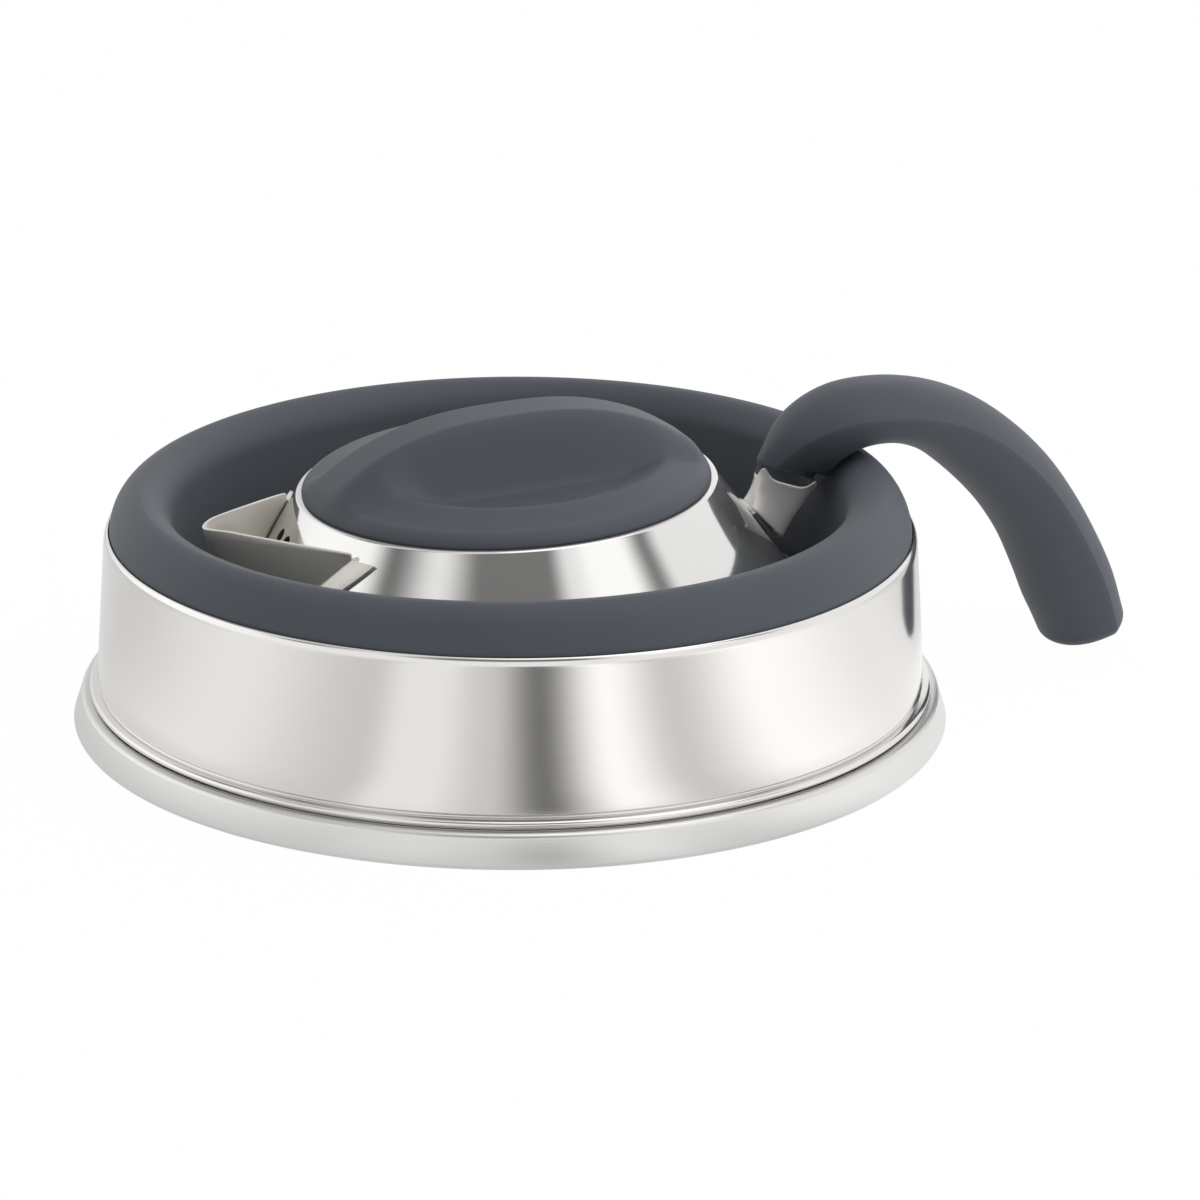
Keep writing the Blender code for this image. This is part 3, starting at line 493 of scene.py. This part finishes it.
def cone_point(share, angle, lift):
    """Over the slope: out by lift sin(slope) and up by lift cos(slope), at an angle round."""
    share, angle, lift = np.broadcast_arrays(share, angle, lift)
    radius = cone_radius(cone_drop(share)) + lift * math.sin(CONE_SLOPE)
    return np.stack([radius * np.cos(angle), radius * np.sin(angle),
                     -cone_drop(share) + lift * math.cos(CONE_SLOPE)], -1)


# %% [markdown]
# The cone's section is spun like the pan's, and the sheet is an offset of the path. Behind the
# spout, holes are punched through as a strainer, and short bars cut them here. A cut breaks
# the smooth shading of the slope, so the slope's true direction is then written back into the
# mesh at each corner.

# %% Cone
NECK_FOOT, MOUTH_ROLL = -4.3, 1
HOLE_PITCH, HOLE_RADIUS, TOP_HOLES = 5.2, 1.7, 0.20


def cone_section():
    """Neck, flat seat, rolled mouth, slope and collar, then the offset by one sheet."""
    roll = (MOUTH_ROLL, MOUTH_ROLL)
    path = np.vstack([
        [(NECK_RADIUS, NECK_FOOT)], arc((NECK_RADIUS + MOUTH_ROLL, CONE_TOP), roll, 180, 90, 7),
        arc((MOUTH_RADIUS - MOUTH_ROLL, CONE_TOP), roll, 90, 90 - math.degrees(CONE_SLOPE), 8),
        rounded([(MOUTH_RADIUS + 1, CONE_TOP - CONE_FALL / CONE_SPREAD),
                 (COLLAR_RADIUS, CONE_RIM), (COLLAR_RADIUS, CONE_COLLAR)], 0.8)])
    return np.vstack([path, offset_path(path, SHEET)[::-1]])


def strainer_bars():
    """Rows of four, three, two and one bar behind the spout, each square to the slope.

    The rows stand a pitch times sin(60) apart, so all neighbours are one pitch apart.
    """
    bm = bmesh.new()
    for row in range(4):
        share = TOP_HOLES + row * HOLE_PITCH / CONE_RUN * math.sin(math.radians(60))
        for k in range(4 - row):
            aside = (k - (3 - row) / 2) * HOLE_PITCH
            angle = SPOUT_SIDE + aside / cone_radius(cone_drop(share))
            middle, low, high = (on_top(cone_point(share, angle, lift))
                                 for lift in (-SHEET / 2, 0, 1))
            turn = Vector(high - low).to_track_quat("Z", "Y").to_matrix().to_4x4()
            bmesh.ops.create_cone(bm, cap_ends=True, segments=28, radius1=HOLE_RADIUS * MM,
                                  radius2=HOLE_RADIUS * MM, depth=4 * SHEET * MM,
                                  matrix=Matrix.Translation(Vector(middle * MM)) @ turn)
    mesh = bpy.data.meshes.new("strainer_bars")
    bm.to_mesh(mesh)
    bm.free()
    return new_object("strainer_bars", mesh)


def true_slope(mesh):
    """Write the slope's exact normal to the corners on its outer face, and leave the others.

    normal = (sin(slope) cos a, sin(slope) sin a, cos(slope)), leaned with the top. A corner is
    on that face if it lies within 0.02 mm of the slope, 1.2 mm clear of both bends, and
    already faces nearly that way.
    """
    count = len(mesh.loops)
    vertex, normal = np.empty(count, int), np.empty(count * 3)
    place = np.empty(len(mesh.vertices) * 3)
    mesh.loops.foreach_get("vertex_index", vertex)
    mesh.corner_normals.foreach_get("vector", normal)
    mesh.vertices.foreach_get("co", place)
    normal, place = normal.reshape(-1, 3), place.reshape(-1, 3)[vertex] * 1000 - MOUTH
    x, y, z = leaned(place, -TOP_TILT).T
    out = np.hypot(x, y)
    true = leaned(np.stack([x / out * math.sin(CONE_SLOPE), y / out * math.sin(CONE_SLOPE),
                            np.full(count, math.cos(CONE_SLOPE))], -1))
    near = np.abs(out - cone_radius(-z)) < 0.02
    clear = (z < CONE_TOP - 1.2) & (z > CONE_RIM + 1.2)
    alike = (normal * true).sum(1) > 0.8
    mesh.normals_split_custom_set(np.where((near & clear & alike)[:, None], true, 0).tolist())


cone = surface("cone", on_top(spun(cone_section(), once_round())), closed=True)
bars = strainer_bars()
cut = cone.modifiers.new("holes", "BOOLEAN")
cut.operation, cut.solver, cut.object = "DIFFERENCE", "EXACT", bars
true_slope(settled(cone))
bpy.data.objects.remove(bars)
finish_piece(cone, "top", cone_steel, "cone_steel", "top_cone")

# %% [markdown]
# ## The spout
#
# The spout is one sheet folded to a V, with an edge turned out flat to be welded to the cone.
# Its shape is a run of stations from one root corner, round the keel and the tip, to the
# other, and s runs along them from -1 to 1. Each station goes from the flange's edge to the
# fold, and from there straight to the rim. The fold is bent over a small radius, so it shows
# a soft bright line. Solidify then gives the sheet its thickness and Bevel takes the
# sharpness off its edges.

# %% Spout
SPOUT_HALF, SPOUT_KEEL, SPOUT_REACH = math.radians(27.2), math.radians(5.0), 67.5852
# Shares of the slope's height where the fold meets it, at the keel and at the root corners.
KEEL_SHARE, ROOT_SHARE = 0.83, 0.11
# The flange's width, the room for the weld under it, and how far the fold's bend reaches.
FLANGE, WELD, BEND = 4.8, 0.06, 0.7
# How round the tip is, how high it stands, and how far its edge curls down.
TIP_ROUND, TIP_HEIGHT, TIP_CURL = 3.4, 0.9, 0.6


def soft_corner(s, soft):
    """0 at the middle and 1 at both ends, straight but for a hyperbola's soft corner."""
    return (np.hypot(s, soft) - soft) / (math.hypot(1, soft) - soft)


def flange_and_fold(s):
    """The flange's edge and the fold, both on the cone. The flange narrows at the roots."""
    share = KEEL_SHARE + (ROOT_SHARE - KEEL_SHARE) * soft_corner(s, SPOUT_KEEL / SPOUT_HALF)
    angle = SPOUT_SIDE + SPOUT_HALF * s
    flank = smooth_step(np.abs(s) * 3)
    corner = smooth_step((np.abs(s) - 0.7) / 0.3)
    down = FLANGE / CONE_RUN * (1 - 0.4 * flank - 0.55 * corner)
    aside = np.sign(s) * (0.75 * flank + 0.60 * corner) * FLANGE
    edge = cone_point(np.minimum(share + down, 0.97),
                      angle + aside / cone_radius(cone_drop(share)), WELD)
    return edge, cone_point(share, angle, WELD)


def spout_rim(s):
    """From one root corner out to the rounded tip, whose edge curls down, and back."""
    root = cone_point(ROOT_SHARE, SPOUT_SIDE + SPOUT_HALF, GAP)
    run_out, half = SPOUT_REACH + root[0], abs(root[1])
    reach = soft_corner(s, TIP_ROUND / run_out)
    curl = TIP_CURL * (1 - smooth_step(np.abs(s) * 4))
    height = (root[2] + 2 * SHEET) * reach + TIP_HEIGHT * (1 - reach) - curl
    return np.stack([-SPOUT_REACH + run_out * reach, -half * s, height], -1)


def spout_rows():
    """Grid of the sheet, rows from the flange's edge to the rim, columns from root to root."""
    s = np.linspace(-1, 1, 97)
    edge, fold = flange_and_fold(s)
    rim = spout_rim(s)
    near, far = (fold + (end - fold) * np.minimum(
        BEND / np.linalg.norm(end - fold, axis=1), 0.4)[:, None] for end in (edge, rim))
    rows = [edge + (near - edge) * u for u in (0, 0.5)]
    rows += [near * (1 - u) ** 2 + fold * 2 * u * (1 - u) + far * u * u
             for u in np.linspace(0, 1, 7)]
    rows += [far + (rim - far) * u for u in np.linspace(0, 1, 11)[1:]]
    return np.array(rows)


spout = surface("spout_sheet", on_top(spout_rows()), around=False)
wall = spout.modifiers.new("sheet", "SOLIDIFY")
wall.thickness, wall.offset, wall.use_even_offset = SHEET * MM, 1, True
edge = spout.modifiers.new("edge", "BEVEL")
edge.width, edge.segments, edge.limit_method = 0.34 * MM, 2, "ANGLE"
edge.angle_limit = math.radians(55)
settled(spout).set_sharp_from_angle(angle=math.radians(38))
finish_piece(spout, "top", pressed_steel, "cone_steel", "spout")


# %% [markdown]
# ## The handle
#
# A satin pad is welded to the cone and carries a tongue, which the grip's flat core is
# riveted to. A stamped guard hides that joint and keeps the flame off the silicone: a
# four-sided sleeve with a waist, narrower on its upper side, whose mouth has raised corners.
# It is a row of squared rings (superellipses) along a short line, each turned a little more
# upright than the one before.

# %% Guard
# Where the line starts on the slope and how high over it, its length, how steep the first and
# last ring stand, and the depth and width at foot, waist and mouth.
GUARD_FOOT, GUARD_LENGTH = (0.61, 0.0, 1.8), 9.2
GUARD_LOW, GUARD_HIGH = math.radians(41.0), math.radians(70.0)
GUARD_DEPTHS, GUARD_WIDTHS = (11.4, 11.6, 13.8), (7.4, 5.6, 6.2)
# How high the mouth's corners rise, and how much narrower the upper side is.
SCALLOP, FOOT_TAPER, MOUTH_TAPER = 2.2, 0.30, 0.58
# Steps once round a ring of the guard or the grip.
HANDLE_STEPS = 96


def outward_of(along):
    """Directions square to the handle's, in its upright plane, on its outer side."""
    return np.stack([-along[:, 2], 0 * along[:, 0], along[:, 0]], -1)


def guard_frame(t):
    """Centre on the line, direction, depth and width at the shares t of the line.

    Depth and width follow the parabola through their values at foot, waist and mouth.
    """
    t = np.asarray(t, float)[:, None]
    lean = (GUARD_LOW + GUARD_HIGH) / 2
    line = np.array([math.cos(lean), 0, math.sin(lean)]) * GUARD_LENGTH
    slope = GUARD_LOW + (GUARD_HIGH - GUARD_LOW) * t
    along = np.hstack([np.cos(slope), 0 * slope, np.sin(slope)])
    parts = np.hstack([(1 - t) * (1 - 2 * t), 4 * t * (1 - t), t * (2 * t - 1)])
    depth, width = (parts @ sizes for sizes in (GUARD_DEPTHS, GUARD_WIDTHS))
    return cone_point(*GUARD_FOOT) + line * t, along, depth[:, None], width[:, None]


def squared_rings(centre, along, depth, width, scallop, taper):
    """Superellipse rings square to a direction, with corners raised by scallop sin(2a)^2.

    The width is multiplied by 1 - taper * (share of the depth), so the outer side is narrower.
    """
    angle = once_round(HANDLE_STEPS)
    a, b = squared(np.cos(angle), 5), squared(np.sin(angle), 5)
    deep, corner = b * depth / 2, np.sin(2 * angle) ** 2 * scallop
    grid = (centre[:, None] + outward_of(along)[:, None] * deep[..., None]
            + along[:, None] * corner[..., None])
    grid[..., 1] += a * width / 2 * (1 - taper * b)
    return grid


def guard_grid():
    """Outer rings up, a rounded lip, and inner rings down again."""
    t = np.linspace(0, 1, 22)
    centre, along, depth, width = guard_frame(t)
    rise = SCALLOP * smooth_step(2 * t - 1)[:, None]
    taper = FOOT_TAPER + (MOUTH_TAPER - FOOT_TAPER) * t[:, None]
    outer, inner = (squared_rings(centre, along, depth - wall, width - wall, rise, taper)
                    for wall in (0, 2 * SHEET))
    half = np.radians(np.linspace(0, 180, 7)[1:-1])[:, None, None]
    mid, reach = (outer + inner) / 2, (outer - inner) / 2
    lip = mid[-1] + reach[-1] * np.cos(half) + along[-1] * 0.35 * np.sin(half)
    base = mid[0] - reach[0] * np.cos(half) - along[0] * 0.25 * np.sin(half)
    return np.vstack([outer, lip, inner[::-1], base])


guard = surface("flame_guard", on_top(guard_grid()), closed=True, sharp=50)
finish_piece(guard, "top", guard_steel, "cone_steel", "handle_guard")

# %% [markdown]
# The grip is a silicone moulding with a low crown, soft edge lines and a deep rounded belly.
# Its rings are square to a curve that rises over the crest and then drops to the table. The
# lists below give the curve and the rings' sizes at twelve stations, as shares of the
# greatest, and a smooth curve runs through them. A plug of the same moulding fills the
# guard's mouth.

# %% Grip
# Share of the run out, of the rise and of the drop, for each station of the upper edge.
GRIP_RUN = (79.1, 10.4, 57.2)
SPINE = [(0.000, 0.00, 0.000), (0.084, 0.68, 0.000), (0.204, 1.00, 0.000), (0.336, 1.00, 0.002),
         (0.468, 1.00, 0.038), (0.587, 1.00, 0.113), (0.691, 1.00, 0.225), (0.781, 1.00, 0.359),
         (0.854, 1.00, 0.510), (0.915, 1.00, 0.669), (0.966, 1.00, 0.832), (1.000, 1.00, 1.000)]
# Width, crown above that edge's line and belly below it.
GRIP_SIZES = (28.0, 5.8, 14.5)
WIDTHS = [0.28, 0.60, 0.84, 0.96, 1.00, 1.00, 0.99, 0.97, 0.95, 0.93, 0.91, 0.88]
CROWNS = [0.50, 0.72, 0.90, 1.00, 1.00, 1.00, 1.00, 1.00, 1.00, 1.00, 1.00, 1.00]
BELLIES = [0.80, 0.86, 0.66, 0.55, 0.63, 0.76, 0.83, 0.87, 0.90, 0.96, 1.00, 0.91]
ROOT_SWELL, TAIL_LENGTH, PLUG_TAPER = 0.94, 4.0, 0.56
# Rings along the curve, how many of them the root stands for, and the part of the curve, one
# in so many, over which it leaves the guard's direction.
GRIP_RINGS, ROOT_RINGS, TURN_PART = 121, 6, 23


def grip_profile():
    """Centres, directions and sizes of the grip's rings from the shares above.

    The first few rings turn from the guard's direction to the curve's own.
    """
    mouth, along = guard_frame([1])[:2]
    sizes = np.stack([WIDTHS, CROWNS, BELLIES], -1) * GRIP_SIZES
    width, crown, belly = sizes[0]
    root = mouth + along * (SCALLOP + 2 * GAP) + outward_of(along) * (belly - crown) / 2
    run, rise, drop = (np.array(SPINE) * GRIP_RUN).T
    edge = smooth_through(root + np.stack([run, 0 * run, rise - drop], -1), GRIP_RINGS)
    sizes = smooth_through(sizes, GRIP_RINGS)
    blend = np.clip(np.linspace(0, TURN_PART, GRIP_RINGS), 0, 1)[:, None]
    ahead = unit_rows(along + (unit_rows(np.gradient(edge, axis=0)) - along) * blend)
    outward = outward_of(ahead)
    return edge + outward * (sizes[:, 1:2] - sizes[:, 2:]) / 2, ahead, outward, sizes


def grip_rings(centre, outward, sizes, scale):
    """Crown above: crown (1 - |cos|^2.4). Belly below: -belly |sin|^0.8. Both scaled."""
    a, b = np.cos(once_round(HANDLE_STEPS)), np.sin(once_round(HANDLE_STEPS))
    width, crown, belly = (sizes[:, k:k + 1] for k in range(3))
    height = np.where(b >= 0, crown * (1 - np.abs(a) ** 2.4), -belly * np.abs(b) ** 0.8)
    height = (height + (belly - crown) / 2) * scale
    grid = centre[:, None] + outward[:, None] * height[..., None]
    grid[..., 1] += a * width / 2 * scale
    return grid


def grip_grid():
    """Plug in the guard's mouth, root, body and rounded tail, which shrinks on an ellipse."""
    centre, ahead, outward, sizes = grip_profile()
    body = grip_rings(centre, outward, sizes, 1)
    t = np.linspace(0, 1, 7)[:, None]
    swell = ROOT_SWELL + (1 - ROOT_SWELL) * np.sqrt(1 - (1 - t) ** 2)
    root = grip_rings(centre[:1] + ahead[:1] * t, outward[:1], sizes[:1], swell)
    t = np.linspace(0, math.pi / 2, 14)[1:, None]
    shrink = np.cos(t) ** 0.62 * 0.97 + 0.03
    tail = grip_rings(centre[-1:] + ahead[-1:] * TAIL_LENGTH * np.sin(t), outward[-1:],
                      sizes[-1:], shrink)
    plug, along, depth, width = guard_frame([0.88, 0.94, 1.0, 1.0])
    plug[3] += along[3] * 0.5
    spare = np.array([[1], [1], [1], [0]]) * (2 * SHEET + GAP)
    rise = SCALLOP * np.array([[0.9], [0.97], [1.0], [1.0]])
    plug = squared_rings(plug, along, depth - spare, width - spare, rise, PLUG_TAPER)
    return np.vstack([plug, root, body[ROOT_RINGS:], tail])


grip = surface("grip", on_top(grip_grid()), caps=True, sharp=60)
finish_piece(grip, "top", grey_silicone, "grey_silicone", "handle_sleeve")


# %% [markdown]
# ## The lid
#
# The lid's cover is a shallow moulding with two finger hollows and a ridge between them to
# hold it by. Its top is a height over the mouth's plane: a brim that domes up, less one wide
# bowl, and a ridge that crosses the bowl and parts it into the two hollows. All rings of the
# cover run round the same centre, so its edge stays truly round. A pressed steel plate and a
# gasket lie under it.

# %% Lid cover
# The width of the thinning edge, the smallest radius drawn, and the rings and steps.
EDGE, AXIS, COVER_RINGS, COVER_STEPS = 3.0, 0.01, 106, 320
# Heights of the brim, of the dome over it, and of the ridge over the brim.
BRIM, DOME, RIDGE = 2.2, 4.0, 14.0
# The bowl: its middle, its two half lengths, how steeply its sides fall, and the depth at
# which its floor levels out.
BOWL_X, BOWL_LONG, BOWL_WIDE = 1.0, LID_RADIUS * 0.757, LID_RADIUS * 0.738
BOWL_STEEP, BOWL_DEPTH = 11.0, 4.3
# Half the width of the ridge's top, and the width of each flank.
RIDGE_HALF, RIDGE_FLANK = 4.75, 10.5
# The cover's underside: a short skirt, then a flat ceiling over the steel plate.
UNDERSIDE = np.array([(LID_RADIUS - 0.25, -0.25), (43.1, -0.25), (43.1, 1.1), (AXIS, 1.1)])


def soft_positive(value, soft):
    """(v + hypot(v, soft)) / 2: nearly v above zero, nearly 0 below, and a soft turn between."""
    return (value + np.hypot(value, soft)) / 2


def cover_height(x, y):
    """Height over the mouth's plane: a domed brim, less the bowl, and the ridge over both."""
    out = np.hypot(x, y) / LID_RADIUS
    dome = BRIM + DOME * smooth_step((1 - out) / 0.42)
    inside = 1 - np.hypot((x - BOWL_X) / BOWL_LONG, y / BOWL_WIDE) ** 2
    bowl = BOWL_STEEP * soft_positive(inside, 0.05)
    floor = dome - bowl + soft_positive(bowl - BOWL_DEPTH, 0.5)
    ridge = BRIM + RIDGE * (1 - np.minimum(np.abs(x) / LID_RADIUS, 1) ** 2.6)
    hold = 1 - smooth_step((np.abs(y) - RIDGE_HALF) / RIDGE_FLANK)
    return floor + soft_positive(ridge - floor, 2.2 * smooth_step((1 - out) / 0.3)) * hold


def cover_grid():
    """Rings from the middle to the thin edge, and back under to the middle.

    Over the last 3 mm the height is multiplied by (1 - u ^ 1.6) ^ (1 / 1.6), u from 0 to 1.
    """
    angle = once_round(COVER_STEPS)
    inner = np.linspace(0, LID_RADIUS - EDGE, COVER_RINGS)
    u = np.sin(np.linspace(0, math.pi / 2, 16)[1:])
    inner[0] = AXIS
    radius = np.concatenate([inner, LID_RADIUS - EDGE + EDGE * u])[:, None]
    thin = np.concatenate([np.ones(COVER_RINGS), (1 - u ** 1.6) ** (1 / 1.6)])[:, None]
    x, y = radius * np.cos(angle), radius * np.sin(angle)
    top = np.stack([x, y, cover_height(x, y) * thin], -1)
    return np.vstack([top, spun(UNDERSIDE, angle)])


cover = surface("lid_grip_cover", on_top(cover_grid()), caps=True, sharp=50)
finish_piece(cover, "lid", grey_silicone, "grey_silicone", "lid_cover")


# %% [markdown]
# The other pieces are hidden, or show only when the kettle is opened. They keep their packed
# solids and get the finish of their metal or rubber.

# %% Solids that stay as they are
for name, material in {"heat_spreader": mill_aluminium, "wall_clamp_ring": satin_steel,
                       "cone_clamp_ring": satin_steel, "handle_bracket": satin_steel,
                       "handle_core": satin_steel, "handle_rivet": satin_steel,
                       "lid_plate": satin_steel, "lid_gasket": seal_silicone}.items():
    nodes[name].data.materials.clear()
    nodes[name].data.materials.append(material)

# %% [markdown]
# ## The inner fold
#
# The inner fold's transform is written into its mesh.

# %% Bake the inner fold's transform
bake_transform(inner_fold)

# %% [markdown]
# ## Floor, light and camera
#
# The kettle stands on a pale table in a white room. Polished steel shows whatever is round
# it, so the room is drawn too: a ring of soft panels, with darker gaps between them and where
# the camera and the person behind it stand. ROOM is what mirror rays meet at middle height,
# LOW what they meet near the horizon, and HIGH dims the panels far up. SOFT is the same room
# as plain light, blurred, since matt silicone shows no single panel. TABLE is how the table
# looks in the pan, which is seen from above and so mirrors the table in front of it, and NEAR
# how it looks in the foot, close by. Each ring is a short list of places round it and
# brightnesses. The places follow the bands that the photograph shows in the steel. ROOM, LOW,
# NEAR and TABLE know only four plain brightnesses: bright and pale panels, the plain wall and
# dark gaps. Those of HIGH and SOFT were found by trial.

# %% The ring of panels
CAMERA_TURN = -21.573
WHITE, CEILING = (1, 1, 1, 1), (0.88, 0.88, 0.88, 1)
BRIGHT, PALE, PLAIN, DARK = 1.4, 1.1, 0.8, 0.2
ROOM = [(0.00, PLAIN), (0.20, BRIGHT), (0.26, BRIGHT), (0.31, DARK), (0.38, PALE), (0.45, DARK),
        (0.56, DARK), (0.60, PALE), (0.64, BRIGHT), (0.69, BRIGHT), (0.73, DARK), (0.76, PALE)]
LOW = [(0.00, PLAIN), (0.20, BRIGHT), (0.38, PALE), (0.87, PALE)]
HIGH = [(0.00, 0.25), (0.20, 0.25), (0.28, 1.00), (0.85, 1.00), (0.95, 0.35)]
SOFT = [(0.00, 0.85), (0.12, 0.60), (0.25, 0.50), (0.38, 0.35), (0.50, 0.30), (0.60, 0.80),
        (0.70, 1.60), (0.85, 1.25)]
NEAR = [(0.00, PLAIN), (0.60, PLAIN), (0.68, PALE), (0.85, PALE)]
TABLE = [(0.00, PLAIN), (0.20, PLAIN), (0.33, PALE), (0.42, PLAIN), (0.44, PALE), (0.46, PALE),
         (0.49, PLAIN), (0.52, DARK), (0.56, BRIGHT), (0.60, PLAIN), (0.66, BRIGHT), (0.76, PALE),
         (0.85, PLAIN)]


def ring_of_panels(tree, direction, panels):
    """Brightness by the angle round the kettle, measured from behind the camera.

    angle = atan2(y, x) of the direction, turned so that the camera's side is at one half.
    """
    turned_round = add(tree, "VectorRotate", {"Vector": direction,
                                              "Angle": math.radians(90 - CAMERA_TURN)},
                       rotation_type="Z_AXIS")
    parts = add(tree, "SeparateXYZ", {0: turned_round.outputs[0]})
    angle = add(tree, "Math", {0: parts.outputs["Y"], 1: parts.outputs["X"]}, operation="ARCTAN2")
    place = add(tree, "MapRange", {"Value": angle.outputs[0], "From Min": -math.pi,
                                   "From Max": math.pi})
    ramp = add(tree, "ValToRGB", {0: place.outputs[0]})
    ramp.color_ramp.interpolation = "EASE"
    stops = ramp.color_ramp.elements
    while len(stops) < len(panels):
        stops.new(0.5)
    for stop, (where, value) in zip(stops, panels):
        stop.position = where
        stop.color = (value, value, value, 1)
    return ramp.outputs[0]


# %% World
world = bpy.data.worlds.new("white_room")
bpy.context.scene.world = world
world.use_nodes = True
tree = world.node_tree
tree.nodes.clear()
direction = add(tree, "TexCoord").outputs["Generated"]
height = add(tree, "SeparateXYZ", {0: direction}).outputs["Z"]
overhead = add(tree, "MapRange", {"Value": height, "From Min": 0.76, "From Max": 0.98},
               interpolation_type="SMOOTHSTEP")
rays = add(tree, "LightPath")
lower = add(tree, "MapRange", {"Value": height, "From Min": 0.42, "From Max": 0.56})
level = add(tree, "Mix", {"Factor": lower.outputs[0], 6: ring_of_panels(tree, direction, LOW),
                          7: ring_of_panels(tree, direction, ROOM)}, data_type="RGBA")
upper = add(tree, "MapRange", {"Value": height, "From Min": 0.55, "From Max": 0.74})
panels = add(tree, "Mix", {"Factor": upper.outputs[0], 6: level.outputs[2],
                           7: ring_of_panels(tree, direction, HIGH)}, data_type="RGBA",
             blend_type="MULTIPLY")
walls = add(tree, "Mix", {"Factor": rays.outputs["Is Glossy Ray"],
                          6: ring_of_panels(tree, direction, SOFT),
                          7: panels.outputs[2]}, data_type="RGBA")
room = add(tree, "Mix", {"Factor": overhead.outputs[0], 6: walls.outputs[2],
                         7: CEILING}, data_type="RGBA")
lit = add(tree, "Background", {"Color": room.outputs[2], "Strength": 1.0})
blank = add(tree, "Background", {"Color": WHITE, "Strength": 1.0})
sky = add(tree, "MixShader", {0: rays.outputs["Is Camera Ray"], 1: lit.outputs[0],
                              2: blank.outputs[0]})
add(tree, "OutputWorld", {"Surface": sky.outputs[0]})


# %% [markdown]
# The floor is the table top, 6 metres square. Mirror rays meet the rings NEAR and TABLE on it,
# which change over between 100 and 122 mm from the kettle's axis. The camera sees nearly pure
# white, with just enough of the real shade left in to set the kettle down.

# %% Floor
TABLE_HALF = 3
TABLE_CORNERS = [(-TABLE_HALF, -TABLE_HALF, 0), (TABLE_HALF, -TABLE_HALF, 0),
                 (TABLE_HALF, TABLE_HALF, 0), (-TABLE_HALF, TABLE_HALF, 0)]
mesh = bpy.data.meshes.new("table_top")
mesh.from_pydata(TABLE_CORNERS, [], [(0, 1, 2, 3)])
floor = new_object("table_top", mesh)
table_top = bpy.data.materials.new("white_table_top")
table_top.use_nodes = True
tree = table_top.node_tree
tree.nodes.clear()
place = add(tree, "TexCoord").outputs["Object"]
distance = add(tree, "VectorMath", {0: place}, operation="LENGTH").outputs["Value"]
away = add(tree, "MapRange", {"Value": distance, "From Min": 0.100, "From Max": 0.122,
                              "To Min": 0.12, "To Max": 1.0})
ring = add(tree, "Mix", {"Factor": away.outputs[0], 6: ring_of_panels(tree, place, NEAR),
                         7: ring_of_panels(tree, place, TABLE)}, data_type="RGBA").outputs[2]
pale = add(tree, "BsdfDiffuse", {"Color": linear("#F2F2F2")})
white = add(tree, "Emission", {"Color": WHITE, "Strength": 1.0})
shown = add(tree, "Emission", {"Color": ring, "Strength": 1.0})
rays = add(tree, "LightPath")
plain = add(tree, "MixShader", {0: 0.985, 1: pale.outputs[0], 2: white.outputs[0]})
seen = add(tree, "MixShader", {0: rays.outputs["Is Camera Ray"], 1: pale.outputs[0],
                               2: plain.outputs[0]})
mirrored = add(tree, "MixShader", {0: rays.outputs["Is Glossy Ray"], 1: seen.outputs[0],
                                   2: shown.outputs[0]})
add(tree, "OutputMaterial", {"Surface": mirrored.outputs[0]})
floor.data.materials.append(table_top)

# %% [markdown]
# One weak round softbox hangs a metre up and adds a soft light from above. The camera stands
# a metre off, in front and a little to the spout's side, and looks down by 19 degrees.

# %% Lamp
LAMP_PLACE = Vector((0.25, -0.2, 1.1))
lamp = bpy.data.lights.new("overhead_softbox", "AREA")
lamp.shape, lamp.size, lamp.energy = "DISK", 0.9, 1.5
softbox = new_object("overhead_softbox", lamp)
softbox.location = LAMP_PLACE
softbox.rotation_euler = LAMP_PLACE.to_track_quat("Z", "Y").to_euler()

# %% Camera
CAMERA_PLACE, CAMERA_TILT, CAMERA_ROLL = (-0.3616, -0.9671, 0.3775), 18.828, 0.5387
FOCAL_PIXELS, PHOTO_PIXELS, SENSOR = 5022.5, 1200, 36.0


def camera_matrix(place, turn, tilt, roll):
    """Axes from the turn about Z, the tilt above level and the roll about the line of sight."""
    a, e, r = (math.radians(v) for v in (turn, tilt, roll))
    back = Vector((math.sin(a) * math.cos(e), -math.cos(a) * math.cos(e), math.sin(e)))
    level = Vector((math.cos(a), math.sin(a), 0))
    up = back.cross(level)
    right = level * math.cos(r) + up * math.sin(r)
    rise = up * math.cos(r) - level * math.sin(r)
    matrix = Matrix((right, rise, back)).transposed().to_4x4()
    matrix.translation = place
    return matrix


lens = bpy.data.cameras.new("camera")
lens.sensor_width, lens.lens = SENSOR, FOCAL_PIXELS / PHOTO_PIXELS * SENSOR
lens.clip_start, lens.clip_end = 0.05, 20
camera = new_object("camera", lens)
camera.matrix_world = camera_matrix(CAMERA_PLACE, CAMERA_TURN, CAMERA_TILT, CAMERA_ROLL)
bpy.context.scene.camera = camera
bpy.context.scene.view_settings.view_transform = "Standard"
